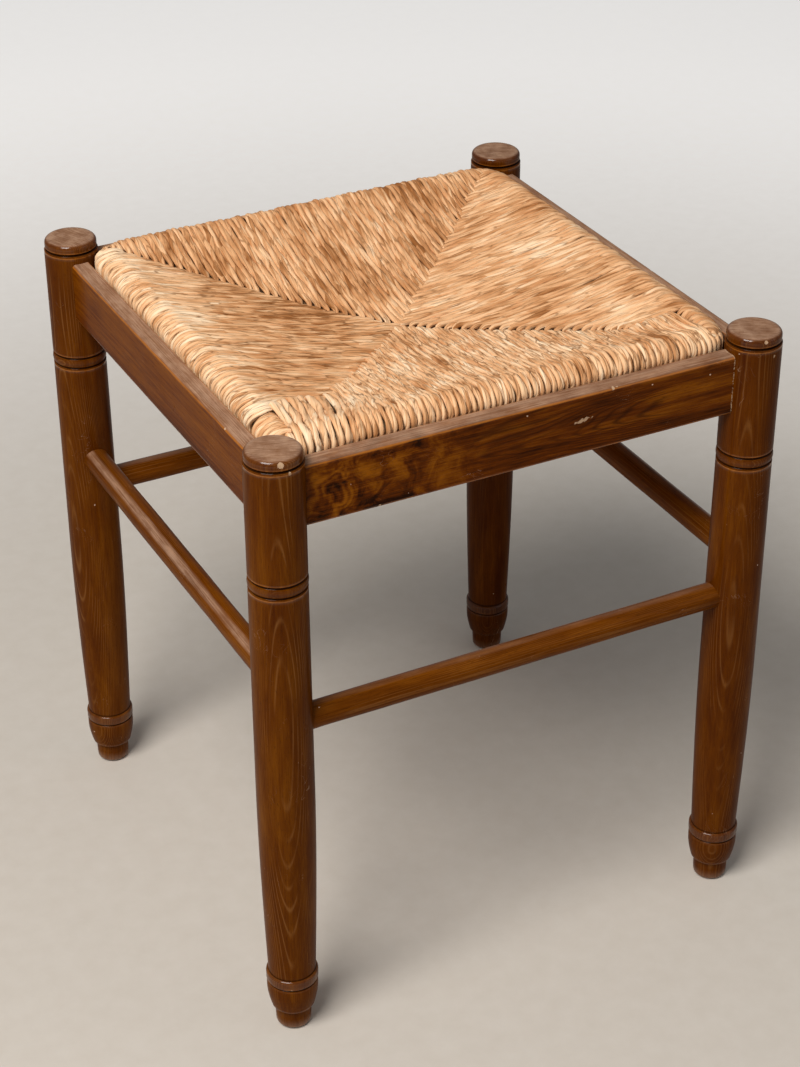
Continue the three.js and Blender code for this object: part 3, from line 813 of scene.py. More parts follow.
# %% Build the aprons
OUT_DOWN, UP_IN = (0, 0.7, -0.6), (0, 0.6, 0.6)
APRON_CHIPS = {
    "front": [((x, -177.3, 417.4 + 0.14 * (x - 33)), size, 0.06, (0, 1, 0)) for x, size in (
        (34, 1.3), (36.3, 1.7), (38.6, 1.8), (41, 1.4), (43.5, 1.2), (46.5, 0.9))] + [
            ((61.2, -176.6, 435.7), 1.7, 0.35, OUT_DOWN), ((63.8, -176.4, 435.9), 0.9, 0.2, OUT_DOWN),
            ((-104.0, -177.0, 395.4), 1.2, 0.2, UP_IN)],
    "right": [((-40.0, -176.6, 435.7), 1.8, 0.3, OUT_DOWN)],
    "back": [((90.0, -176.6, 435.7), 1.6, 0.3, OUT_DOWN)],
    "left": [((36.0, -177.0, 395.4), 1.3, 0.2, UP_IN), ((112.0, -176.8, 435.6), 1.3, 0.25, OUT_DOWN)],
}
CALM = {"front": 0.15, "right": 0.4, "back": 0.5, "left": 1.0}
for side in SIDES:
    points = np.column_stack([along, -wide, high])
    grain = np.column_stack([-wide, high, along])
    bare = glue_line if side == "front" else np.zeros(len(points))
    for place, size, depth, inward in APRON_CHIPS[side]:
        bare = chip(points, bare, place, size, depth, inward)
    if side != "front":
        grain = grain + np.array([dice.uniform(-40, 40), dice.uniform(-200, 200), dice.uniform(300, 900)])
    points = points @ side_turn(side)
    apron = mesh_piece(f"board_apron_{side}", points * MM, board_faces(points, apron_shape), apron_walnut,
                       {"grain": grain * MM, "wear": apron_wear, "bare": bare, "haze_and_sheen": top_haze_and_sheen,
                        "painted_shade_and_low_edge": darker_toward_bottom, "calm": np.full(len(points), CALM[side])})
    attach(apron, "frame")
    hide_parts(f"apron_{side}")
print("aprons:", len(apron.data.polygons), "faces each")

# %% [markdown]
# ## Rungs
# The rungs are plain round rods, glued 20 mm deep into the legs. A bare cylinder would look too
# true, so the lathe's slight waver is added. Feet rest on the rungs and rub them along the top,
# on the side pair a little to the outside, where a pale haze is left.

# %% Build the rungs
RUNG_LOW, RUNG_HIGH = box_mm("rung_front")
RUNG_RADIUS, RUNG_END, RUNG_SIDES = (RUNG_HIGH[2] - RUNG_LOW[2]) / 2, RUNG_HIGH[0], 64
RUNG_CHAMFER, RUNG_SHOWS = 1.0, 150
# How far round from the top each rung is rubbed, in degrees, and how much haze is left there
RUBBED = {"front": (0.0, 0.2), "right": (35.0, 0.4), "back": (0.0, 0.3), "left": (35.0, 0.85)}
for side in SIDES:
    half = np.array([RUNG_END - RUNG_CHAMFER, RUNG_END, RUNG_END])
    stations = np.concatenate([-half[::-1], np.linspace(-RUNG_SHOWS, RUNG_SHOWS, 61), half])
    wander = dice.uniform(0, math.tau, 3)
    waver = 0.10 * np.sin(stations / 37.0 + wander[0]) + 0.06 * np.sin(stations / 13.0 + wander[1])
    radii = RUNG_RADIUS + np.where(np.abs(stations) < RUNG_SHOWS - 1, waver - 0.05, 0.0)
    radii[[1, -2]] -= RUNG_CHAMFER
    radii[[0, -1]] = 0.0
    grain, faces = lathed(radii, stations, RUNG_SIDES)
    points = grain[:, [2, 0, 1]]
    grain[:, 2] += dice.uniform(-500, 500)
    angle, haze = math.radians(RUBBED[side][0]), RUBBED[side][1]
    toward_foot = points[:, 2] * math.cos(angle) - points[:, 1] * math.sin(angle)
    # The upper 1.7 mm of the rung are rubbed and the upper 0.7 mm are hazy
    wear = np.clip((toward_foot - 7.4) / 1.6, 0, 1) * 0.5
    haze_and_sheen = np.clip((toward_foot - 8.4) / 0.6, 0, 1) * haze
    low, high = box_mm(f"rung_{side}")
    points += np.array([0.0, -LEG_AXIS, (low[2] + high[2]) / 2])
    rung = mesh_piece(f"round_rung_{side}", (points @ side_turn(side)) * MM, faces, rung_walnut,
                      {"grain": grain * MM, "wear": wear, "haze_and_sheen": haze_and_sheen})
    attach(rung, "frame")
    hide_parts(f"rung_{side}")
print("rungs:", len(rung.data.polygons), "faces each")

# %% [markdown]
# ## Bare wood inside
# The dowels and the seat bars are hidden in the finished stool, but the bars show a little when
# the seat is lifted. New meshes would gain nothing there, so they keep their solids and get plain
# dry beech, read from the object's own place.

# %% Bare beech
def make_bare_beech():
    material, tree, shader = new_material("bare_beech")
    wood = use_group(tree, wood_figure, place=own_place(tree), ring_pitch=5 * MM, pith_distance=40 * MM,
                     waviness=4 * MM)
    colour = colour_steps(tree, wood["Figure"], [
        (0.25, (0.36, 0.21, 0.10)), (0.55, (0.55, 0.36, 0.19)), (0.85, (0.70, 0.50, 0.30))])
    plug(tree, shader.inputs["Base Color"], blend_colour(tree, wood["Fleck"], colour, (0.24, 0.12, 0.05)))
    plug(tree, shader.inputs["Roughness"], times(tree, wood["Mottle"], 0.2, 0.55))
    set_bump(tree, shader, wood["Height"], 0.4, 0.2 * MM)
    return material


bare_beech = make_bare_beech()
inside = [node for name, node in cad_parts.items() if name.startswith(("dowel_", "seat_bar_"))]
for node in inside:
    node.data.materials.clear()
    node.data.materials.append(bare_beech)
print("bare beech on", len(inside), "solids")

# %% [markdown]
# ## Straw fibres
# Dried rush is a bundle of flat leaves. Close up it has fine lines along its length, and each
# fold has its own tint. Hair curves could make the fibres, but they are far thinner than a pixel.
# One group draws them instead, from a place that is laid out straight along the strand, so the
# lines twist with the leaf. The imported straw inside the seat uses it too.

# %% Straw group
def make_straw_fibres():
    tree, given, result = group_tree(
        "straw_fibres", {"Place": "NodeSocketVector", "Fibre Scale": 1500.0, "Draw Out": 0.035},
        ["Fibre", "Blush", "Height"])
    drawn = vec(tree, "MULTIPLY", given["Place"], joined(tree, X=1.0, Y=1.0, Z=given["Draw Out"]))
    fine = noise(tree, drawn, given["Fibre Scale"], 3.0, 0.6)
    coarse = noise(tree, drawn, times(tree, given["Fibre Scale"], 0.3))
    plug(tree, result["Fibre"], total(tree, times(tree, fine, 0.55), times(tree, coarse, 0.45)))
    plug(tree, result["Blush"], noise(tree, given["Place"], 260.0, 3.0, 0.6, draw=0.2))
    plug(tree, result["Height"], fine)
    return tree


straw_fibres = make_straw_fibres()
print("group", straw_fibres.name)

# %% [markdown]
# ## Golden rush
# The seat runs from a brown that is nearly orange to pale straw. One colour with noise would look
# like string, because rush varies in four ways at once: from leaf to leaf, between patches of one
# leaf, along its fibres, and over whole areas of the seat. On top of that, each side is painted
# lighter or darker for the light that fell on it, and a patch by the back left seam is painted in
# shade. All are added into one share that a ramp turns into colour. Then come the painted darks:
# shade in the creases between folds and in the seams, shadow dashes, and shade and dirt in the gaps
# between strands. Each strand carries its side's value: how much lighter or darker it is painted,
# how smooth it is, and how much lighter it turns at the rim.

# %% Tone of the rush
SHADE_PATCH_PLACE, SHADE_PATCH_SHAPE = (-0.068, 0.036, 0.43), (16.0, 34.0, 0.0)
RUSH_TONES = [(0.10, (0.29, 0.105, 0.028)), (0.30, (0.57, 0.27, 0.112)), (0.50, (0.76, 0.42, 0.206)),
              (0.70, (0.87, 0.552, 0.312)), (0.92, (0.955, 0.725, 0.485))]
RUSH_BLUSH, CREASE_SHADE = (0.66, 0.27, 0.10), (0.17, 0.06, 0.014)
DASH_SHADOW, GAP_SHADE_AND_DIRT = (0.22, 0.085, 0.024), (0.14, 0.055, 0.018)


def rush_tone(tree, whole, laid, strand, side_shade_and_look, straw, patch, out, coarse_leaf):
    leaf_place = joined(tree, X=times(tree, strand["X"], 61.0), Y=times(tree, strand["Y"], 7.3),
                        Z=times(tree, parts(tree, laid)["Z"], 24.0))
    at_rim = times(tree, between(tree, out, 0.115, 0.155), side_shade_and_look["Z"])
    # Each side is painted lighter or darker for the light that fell on it, and lighter toward its rim by its
    # own amount
    share = total(
        tree, side_shade_and_look["X"], 0.57, at_rim,
        swing(tree, noise(tree, leaf_place, 1.0, 2.0, 0.6), 0.95), swing(tree, patch, 0.36),
        swing(tree, straw["Fibre"], times(tree, coarse_leaf, 0.7, 0.4)),
        swing(tree, noise(tree, whole, 20.0, 3.0, 0.6), 0.95))
    # A patch of the left side by the back left seam is painted in shade
    from_shade_patch = vec(tree, "MULTIPLY", vec(tree, "SUBTRACT", whole, SHADE_PATCH_PLACE), SHADE_PATCH_SHAPE)
    painted_shade_patch = between(tree, vec(tree, "LENGTH", from_shade_patch), 0.2, 1.0, 0.2, 0.0)
    share = calc(tree, "SUBTRACT", share, painted_shade_patch, clamp=True)
    blush = between(tree, straw["Blush"], 0.56, 0.72)
    return paint_over(tree, colour_steps(tree, share, RUSH_TONES), (times(tree, blush, 0.5), RUSH_BLUSH))


def rush_darks(tree, laid, strand, seam_gap, on_rim, coarse_leaf):
    """Painted shade in the creases and seams, painted shadow dashes, and shade and dirt in the gaps, each
    with its colour.
    """
    broken = between(tree, noise(tree, laid, 300.0, 1.0, draw=0.3), 0.4, 0.62, 0.15, 1.0)
    # Creases between folds and seams between leaf pieces are painted dark, as shade
    crease_shade = times(tree, between(tree, strand["Z"], 0.0, 0.3, 0.8, 0.0), broken)
    seldom = between(tree, noise(tree, laid, 210.0, 1.0, draw=0.4), 0.5, 0.62)
    seam_shade = times(tree, between(tree, seam_gap, 0.0, 0.1, 0.8, 0.0), seldom)
    crease_shade = times(tree, calc(tree, "MAXIMUM", crease_shade, seam_shade), times(tree, coarse_leaf, 0.4, 0.6))
    # Short dashes along the fibres are painted shadow
    shadow_dash = between(tree, noise(tree, laid, 950.0, 1.0, 0.4, draw=0.09), 0.61, 0.68)
    # Low on a strand's side, toward the gaps, it is painted dark for shade and dirt
    crown = calc(tree, "SUBTRACT", named(tree, "crown"), times(tree, on_rim, 0.14))
    gap = times(tree, between(tree, crown, -0.05, 0.4, 0.75, 0.0), calc(tree, "MAXIMUM", broken, on_rim))
    return ((crease_shade, CREASE_SHADE), (times(tree, shadow_dash, times(tree, coarse_leaf, 0.35, 0.15)), DASH_SHADOW),
            (gap, GAP_SHADE_AND_DIRT))


print("rush runs through", len(RUSH_TONES), "tones")


# %% Golden rush
def make_golden_rush():
    material, tree, shader = new_material("golden_rush")
    whole, laid = own_place(tree), named(tree, "laid", "Vector")
    strand = parts(tree, named(tree, "strand", "Vector"))
    side_shade_and_look = parts(tree, named(tree, "side_shade_and_look", "Vector"))
    straw = use_group(tree, straw_fibres, place=laid)
    patches = {"Vector": vec(tree, "MULTIPLY", laid, (310.0, 310.0, 44.0)), "Scale": 1.0}
    patch = add(tree, "ShaderNodeTexVoronoi", patches).outputs["Color"]
    patch = add(tree, "ShaderNodeSeparateColor", {"Color": patch}).outputs["Red"]
    seam_gap = add(tree, "ShaderNodeTexVoronoi", patches, feature="DISTANCE_TO_EDGE").outputs["Distance"]
    at = parts(tree, vec(tree, "ABSOLUTE", whole))
    out = calc(tree, "MAXIMUM", at["X"], at["Y"])
    on_rim = between(tree, out, 0.155, 0.163)
    coarse_leaf = calc(tree, "SUBTRACT", 1.0, side_shade_and_look["Y"])
    colour = rush_tone(tree, whole, laid, strand, side_shade_and_look, straw, patch, out, coarse_leaf)
    darks = rush_darks(tree, laid, strand, seam_gap, on_rim, coarse_leaf)
    plug(tree, shader.inputs["Base Color"], paint_over(tree, colour, *darks))
    plug(tree, shader.inputs["Roughness"], times(tree, straw["Fibre"], 0.3, 0.36))
    shader.inputs["Specular IOR Level"].default_value = 0.2
    shader.inputs["Specular Tint"].default_value = (1.0, 0.82, 0.62, 1.0)
    flat_of_leaf = between(tree, seam_gap, 0.0, 0.3)
    height = total(tree, times(tree, straw["Height"], 0.7), times(tree, flat_of_leaf, 0.6))
    set_bump(tree, shader, times(tree, height, times(tree, coarse_leaf, 0.5, 0.5)), 0.6, 0.26 * MM)
    return material


golden_rush = make_golden_rush()
print("rush finish:", golden_rush.name)


# %% Packed straw
def make_packed_straw():
    material, tree, shader = new_material("packed_straw")
    turned = add(tree, "ShaderNodeMapping", {"Vector": own_place(tree), "Rotation": (1.2, 0.4, 0.3)})
    straw = use_group(tree, straw_fibres, place=turned.outputs["Vector"], fibre_scale=800.0, draw_out=0.12)
    plug(tree, shader.inputs["Base Color"], colour_steps(tree, straw["Fibre"], [
        (0.35, (0.05, 0.02, 0.007)), (0.5, (0.14, 0.065, 0.025)), (0.68, (0.30, 0.16, 0.07))]))
    shader.inputs["Roughness"].default_value = 0.9
    set_bump(tree, shader, straw["Height"], 0.8, 0.6 * MM)
    return material


packed_straw = make_packed_straw()
print("straw finish:", packed_straw.name)

# %% [markdown]
# ## The seat's section
# The rush is wound over the seat frame, so every strand follows one section: down the dish from
# the middle, over a rolled rim, straight down inside the apron, and back under the seat. Strands
# could be projected on the solid, but it has only a few faces. Here the surface is a function of
# one number, the half width of the square that a point lies on. Near the corners the square is
# rounded, because the seat has to clear the legs.

# %% Section of the rush
RUSH_LOW, RUSH_HIGH = box_mm("rush_front")
RUSH_OUTER, MIDDLE_BOTTOM, CREST_HEIGHT = -RUSH_LOW[1], RUSH_LOW[2], RUSH_HIGH[2]
BAR_INNER = -box_mm("seat_bar_front")[1][1]
RUSH_BOTTOM, BOTTOM_ROUND, RUSH_CORNER = 414.8, 3.5, 137.8
CREST, ROLL_IN, ROLL_DROP = 150.2, 14.6, 10.3
MIDDLE_HEIGHT, DISH_DEPTH, DISH_POWER = 418.3, 29.0, 1.4


def top_height(half):
    dish = MIDDLE_HEIGHT + DISH_DEPTH * (np.minimum(half, CREST) / CREST) ** DISH_POWER
    roll = np.clip((half - CREST) / ROLL_IN, 0.0, 1.0)
    return np.where(half <= CREST, dish, CREST_HEIGHT - ROLL_DROP + ROLL_DROP * np.sqrt(1.0 - roll ** 2))


def under_height(half):
    flat = MIDDLE_BOTTOM + (RUSH_BOTTOM - MIDDLE_BOTTOM) * np.minimum(1.0, half / BAR_INNER) ** 2
    turn = np.clip((half - RUSH_OUTER + BOTTOM_ROUND) / BOTTOM_ROUND, 0.0, 1.0)
    return flat + BOTTOM_ROUND * (1.0 - np.sqrt(1.0 - turn ** 2))


def half_width(x, y):
    x, y = np.abs(x), np.abs(y)
    corner = RUSH_CORNER + np.hypot(np.maximum(x - RUSH_CORNER, 0), np.maximum(y - RUSH_CORNER, 0))
    return np.where((x > RUSH_CORNER) & (y > RUSH_CORNER), corner, np.maximum(x, y))


def rim_at(x):
    over = np.maximum(np.abs(x) - RUSH_CORNER, 0.0)
    return RUSH_CORNER + math.sqrt((RUSH_OUTER - RUSH_CORNER) ** 2 - over ** 2)


print("dish from", float(top_height(0.0)), "to", float(top_height(CREST)), "mm")

# %% [markdown]
# ## Where each strand goes
# Each side of the seat is a triangle of strands that run in from their rail and dive where they
# meet the next side's. On each joint one side lies over the other: its strands end in small
# hooks with dark gaps between them. At the two front corners the winder started with a block
# that crosses like basket work, so there the front strands run on past the diagonal. An array of
# one strand would look machine made, so the guides below give each strand its own middle line, as
# points and edges, with the surface's direction, the strand's width, its twist and how far it is
# pressed flat.

# %% How strands end
PITCH, OUTERMOST = 4.48, 156.2
# The block at the front left corner: where its strands cross the rim, how far each leans toward
# the middle, and how far from the middle it dives under the left side's last strand
GAP_STRAND = 117.7
BLOCK = {147.0: (2.4, 109.5), 142.2: (4.6, 107.5), 137.3: (7.3, 105.0), 132.3: (8.3, 104.0),
         127.5: (9.5, 104.0), 122.7: (10.4, 105.0), GAP_STRAND: (14.0, 104.0)}
CORNER_PIECE = (124.4, 128.9, 133.4, 137.9, 142.4, 146.9)
LOOSE, BLOCK_GAP = 0.18, 0.5
# How a strand ends on the top: how far it runs on past the joint, how far it drops there, over
# what length, how much it narrows and how far it bends sideways
ENDS = {
    "hook": dict(past=3.4, drop=5.4, over=3.7, narrow=0.7, taper=9.0, bend=4.8, bend_over=10.5, rise=1.2),
    "spread": dict(past=3.4, drop=4.4, over=5.2, narrow=0.3, taper=20.0, bend=0.8, bend_over=12.0, rise=0.7),
    "soft": dict(past=4.6, drop=2.2, over=6.5, narrow=0.3, taper=12.0, bend=1.2, bend_over=14.0, rise=0.4),
    "under": dict(past=4.2, drop=5.0, over=8.5, narrow=0.1, taper=4.0, bend=0.0, bend_over=8.0, rise=0.0),
}


def strand_places(side, rng):
    """Where the strands of one side cross their rim, from one end of the rail to the other."""
    evenly = np.linspace(-OUTERMOST, OUTERMOST, int(round(2 * OUTERMOST / PITCH)) + 1)
    before, after = [], []
    if side == "front":
        before = [-156.0, -151.6, *sorted(-x for x in BLOCK)]
        evenly = np.linspace(before[-1] + PITCH + BLOCK_GAP, OUTERMOST, 63)
    if side == "left":
        after = [*CORNER_PIECE, 151.0, 155.6]
        evenly = np.linspace(-OUTERMOST, 117.0, 62)
    return np.concatenate([before, evenly + rng.normal(0, LOOSE, len(evenly)), after])


print("front strands:", len(strand_places("front", np.random.default_rng(0))))


# %% Where strands dive
def lean_of(near, start, length, most, power=1.0):
    """How far a strand leans: nothing up to the start, then more toward the corner."""
    return most * float(np.clip((near - start) / length, 0, 1)) ** power


def inner_end(side, x):
    """How far from the middle a strand dives, in which way, how far it leans and how soon."""
    near, left_end = abs(x), x < 0
    if side == "front" and left_end:
        if near > 149.0:
            return 149.0, "under", 0.0, 30.0
        if near > 119.0:
            return BLOCK[near][1], "under", BLOCK[near][0], 52.0
        lean = lean_of(near, 56.0, 61.7, 13.5, 1.3)
        return near - lean, "soft", lean, 52.0
    if side == "left" and not left_end:
        if near > 121.0:
            return (159.0 if near > 148.0 else 146.5), "under", 0.0, 30.0
        lean = lean_of(near, 70.0, 47.0, 11.0, 1.4)
        return near - lean, "soft", lean, 0.0
    if side == "front":
        if near > 151.0:
            return 149.0, "under", 0.0, 45.0
        lean = lean_of(near, 92.0, 26.0, 6.5)
        return (111.0 + 0.16 * (near - 122) if near > 119.8 else near - lean), "under", lean, 45.0
    if side == "right" and left_end:
        lean = lean_of(near, 92.0, 26.0, 6.5)
        return (147.0, "under", lean, 45.0) if near > 119.8 else (near - lean, "hook", lean, 45.0)
    if side == "back":
        return near, ("soft" if left_end else "spread"), 0.0, 45.0
    return near, ("soft" if side == "right" else "under"), 0.0, 45.0


print("the front strand 100 mm to the left dives at", round(inner_end("front", -100.0)[0], 1), "mm")

# %% Course of a strand
STEP, LEAST_POINTS, LEAST_START = 2.3, 12, 1.2


def section_path(x, start):
    """The middle line's course over the seat's section, from the top's joint to the underside."""
    rim, near = rim_at(x), abs(x)
    top_y = np.arange(start, max(start + 1, min(rim, CREST)), 0.5)
    roll = CREST + ROLL_IN * np.sin(np.linspace(0, math.pi / 2, 24))
    turn = RUSH_OUTER - BOTTOM_ROUND + BOTTOM_ROUND * np.sin(np.linspace(math.pi / 2, 0, 8))[1:]
    if near > RUSH_CORNER:
        beyond = (near - RUSH_CORNER) ** 2
        roll, turn = (RUSH_CORNER + np.sqrt(np.maximum((line - RUSH_CORNER) ** 2 - beyond, 0.0))
                      for line in (roll, turn))
    top_y = np.concatenate([top_y, roll[roll > top_y[-1] + 0.3]])
    side_z = np.linspace(CREST_HEIGHT - ROLL_DROP, RUSH_BOTTOM + BOTTOM_ROUND, 16)[1:]
    under_y = np.concatenate([turn, np.arange(turn[-1] - 0.5, max(near, LEAST_START) - 3.5, -0.5)])
    y = np.concatenate([top_y, np.full(len(side_z), rim), under_y])
    z = np.concatenate([top_height(half_width(x, top_y)), side_z, under_height(half_width(x, under_y))])
    return np.column_stack([np.full(len(y), x), -y, z])


def even_steps(path):
    """The same course in even steps, and how far along it each point lies."""
    length = np.concatenate([[0], np.cumsum(np.linalg.norm(np.diff(path, axis=0), axis=1))])
    at = np.linspace(0, length[-1], max(LEAST_POINTS, int(length[-1] / STEP)))
    return np.column_stack([np.interp(at, length, path[:, k]) for k in range(3)]), at


def outward(path):
    """The surface's outward direction, square to the path and in the plane of the strand."""
    tangent = np.gradient(path, axis=0)
    tangent /= np.linalg.norm(tangent, axis=1)[:, None]
    lift = np.column_stack([np.zeros(len(path)), tangent[:, 2], -tangent[:, 1]])
    lift /= np.linalg.norm(lift, axis=1)[:, None]
    return -lift if lift[len(path) // 4, 2] < 0 else lift


print("a middle strand is", round(even_steps(section_path(10.0, 10.0))[1][-1]), "mm long")

# %% How strands lie
HALF_WIDTH, HALF_DEPTH = 2.4, 1.9
RIM_LAY, DISH_LAY = 78.0, 84.0
RIM_REACH, UNDER_DROP, UNDER_OVER = 15.0, 4.5, 8.0
CORNER_SINKS, BLOCK_RISES = 1.5, 0.5
# How far a leaning strand has gone sideways, as a share, at each distance in from the rim
SWEEP = ((0.0, 5.0, 10.0, 16.0, 22.0, 31.0, 49.0), (0.0, -0.18, -0.27, -0.14, 0.32, 0.73, 1.0))
UNEVEN_END = {"soft": 2.0, "spread": 0.9}
# For each side: how much lighter or darker its rush is painted for the light that fell on it, how
# smooth its leaves are, how much lighter it turns at the rim, and how deep the leaves fold
SIDE_SHADES_AND_LOOKS = {"front": (0.03, 0.0, -0.08, 0.36), "right": (-0.09, 0.7, 0.0, 0.24),
           "back": (-0.16, 0.6, 0.0, 0.25), "left": (-0.13, 0.2, 0.26, 0.34)}
CORNER_SHADE_AND_LOOK = (0.10, 0.6, 0.0)


def smooth_noise(rng, count, spacing):
    knots = max(4, int(count / spacing) + 4)
    values = rng.normal(0, 1, knots)
    return np.interp(np.linspace(0, knots - 1.001, count), np.arange(knots), values)


def leaning(inward, lean, lean_over):
    """How far a strand has leaned toward the middle, at each distance in from the rim."""
    if not lean_over:
        return lean * np.interp(inward, *SWEEP)
    share = np.clip(inward / lean_over, 0, 1)
    return lean * share ** 2 * (3 - 2 * share)


print("a strand is", 2 * HALF_WIDTH, "mm wide and twists once in about", RIM_LAY, "to", DISH_LAY, "mm")


# %% Guide of one strand
def strand_guide(rng, side, x):
    start, kind, lean, lean_over = inner_end(side, x)
    end = ENDS[kind]
    in_block, in_corner = side == "front" and -x in BLOCK, side == "left" and x in CORNER_PIECE
    past = end["past"] + rng.uniform(-1, 1.3) * UNEVEN_END.get(kind, 0.0)
    path, at = even_steps(section_path(x, max(start, LEAST_START) - past))
    lift, count = outward(path), len(path)
    from_top, from_under = at, at[-1] - at
    on_top = at < at[-1] / 2
    on_rim = np.clip(1 - np.abs(-path[:, 1] - rim_at(x) + 3) / RIM_REACH, 0, 1) ** 0.7
    # Both tips dive below their neighbours, and the top one swells a little just before
    drop = end["drop"] * np.clip(1 - from_top / end["over"], 0, 1) ** 1.2
    drop += UNDER_DROP * np.clip(1 - from_under / UNDER_OVER, 0, 1) ** 1.2
    rise = end["rise"] * np.exp(-((from_top - past - 2.5) / 4.5) ** 2)
    # Between the aprons and beside the legs a strand can't stray
    boxed_in = np.clip((APRON_TOP + 2.0 - path[:, 2]) / 3.0, 0, 1) * (path[:, 1] < -BAR_INNER)
    boxed_in = np.maximum(boxed_in, on_rim * np.clip((abs(x) - RUSH_CORNER) / 8.0, 0, 1))
    # Up and down it waves a little, less where it is boxed in, and there it lies deeper
    rough = (0.22 + 0.16 * on_rim) * smooth_noise(rng, count, 6) * np.clip(from_top / 12, 0, 1)
    rough = rough * (1 - 0.75 * boxed_in) - 0.75 * boxed_in
    # The corner piece lies a little lower than the last full strand and the block beside it
    sunk = CORNER_SINKS if in_corner else -BLOCK_RISES if in_block else 0.0
    sunk = sunk * np.clip(1 - boxed_in, 0, 1) * on_top
    path = path + lift * (rise - drop + rough - sunk - HALF_DEPTH)[:, None]
    # Sideways it sways, bends at its end and leans toward the middle
    sway = 0.32 * smooth_noise(rng, count, 9) + 0.24 * smooth_noise(rng, count, 4)
    bend = end["bend"] * np.clip(1 - from_top / end["bend_over"], 0, 1) ** 1.6
    aside = bend - leaning(RUSH_OUTER + path[:, 1], lean, lean_over) * on_top
    path[:, 0] += sway * (1 - 0.5 * on_rim) + np.sign(x) * aside
    # It is broadest in the dish, narrower over the rim and at its tips
    wide = 1.16 - 0.2 * on_rim + 0.10 * smooth_noise(rng, count, 6) * (1 - 0.7 * boxed_in)
    if in_block or in_corner:
        # The last strand of the block stays narrow beside its dark gap
        wide = wide + (0.0 if abs(abs(x) - GAP_STRAND) < 0.1 else 0.26) * (1 - on_rim) + 0.05
    wide = wide * (1 - end["narrow"] * np.clip(1 - from_top / end["taper"], 0, 1))
    wide = wide * np.clip(np.minimum(from_top, from_under) / 3.0, 0.4, 1)
    lay = (RIM_LAY * on_rim + DISH_LAY * (1 - on_rim)) * rng.uniform(0.75, 1.5)
    twist = rng.uniform(0, math.tau) + np.cumsum(math.tau * np.gradient(at) / lay)
    return path, at, {"lift": lift, "half_width": HALF_WIDTH * MM * wide, "press": 0.78 + 0.18 * on_rim,
                      "twist": twist}


sample = strand_guide(np.random.default_rng(0), "front", 0.0)[0]
print("the middle guide has", len(sample), "points")


# %% Guides for one side
def side_guides(side, seed):
    rng = np.random.default_rng(seed)
    points, edges, strands, filled = [], [], [], 0
    for x in strand_places(side, rng):
        path, at, values = strand_guide(rng, side, float(x))
        points.append(path)
        edges += [(filled + i, filled + i + 1) for i in range(len(path) - 1)]
        filled += len(path)
        leaf = rng.uniform(0, 1)
        at_corner = side == "front" and x < 1 - GAP_STRAND or side == "left" and x > CORNER_PIECE[0] - 1
        values["side_shade_and_look"] = np.tile(CORNER_SHADE_AND_LOOK if at_corner else SIDE_SHADES_AND_LOOKS[side][:3], (len(path), 1))
        values["along"] = (at + leaf * 5000) * MM
        values["leaf"] = np.full(len(path), leaf)
        strands.append(values)
    return np.vstack(points), edges, {key: np.concatenate([s[key] for s in strands]) for key in strands[0]}


print("strands are guided in steps of about", STEP, "mm")

# %% [markdown]
# ## Winding the strands
# A Geometry Nodes tree turns the guides into rush. A curve with a round bevel would give smooth
# rope, and rush isn't rope. The tree sweeps a round outline along every guide, turns it slowly so
# that the leaf twists, folds it into a few leaves, presses it flat against the seat and crinkles
# it. It also stores what the finish reads: the laid-out place on the leaf, the fold that a point
# belongs to, and how high it stands on its strand.

# %% Geometry node helpers
def stored(tree, name, kind="FLOAT"):
    return add(tree, "GeometryNodeInputNamedAttribute", {"Name": name}, data_type=kind).outputs["Attribute"]


def store(tree, geometry, name, value, kind="FLOAT"):
    node = add(tree, "GeometryNodeStoreNamedAttribute", {
        "Geometry": geometry, "Name": name, "Value": value}, data_type=kind, domain="POINT")
    return node.outputs["Geometry"]


def sweep(tree, given, place):
    """The guides as curves, twisted, with a round outline swept along them."""
    curve = add(tree, "GeometryNodeMeshToCurve", {"Mesh": given["Guides"]}).outputs["Curve"]
    curve = store(tree, curve, "middle", place, "FLOAT_VECTOR")
    curve = add(tree, "GeometryNodeSetCurveNormal", {
        "Curve": curve, "Normal": stored(tree, "lift", "FLOAT_VECTOR")}, mode="FREE").outputs["Curve"]
    for kind, socket, name in (("Tilt", "Tilt", "twist"), ("Radius", "Radius", "half_width")):
        curve = add(tree, "GeometryNodeSetCurve" + kind, {
            "Curve": curve, socket: stored(tree, name)}).outputs["Curve"]
    outline = add(tree, "GeometryNodeCurvePrimitiveCircle", {
        "Resolution": given["Points Around"], "Radius": 1.0}, mode="RADIUS").outputs["Curve"]
    round_share = add(tree, "GeometryNodeSplineParameter").outputs["Factor"]
    outline = store(tree, outline, "round", times(tree, round_share, math.tau))
    return add(tree, "GeometryNodeCurveToMesh", {
        "Curve": curve, "Profile Curve": outline, "Scale": stored(tree, "half_width"),
        "Fill Caps": True}).outputs["Mesh"]


print("rush is swept with a half width of", HALF_WIDTH, "mm")


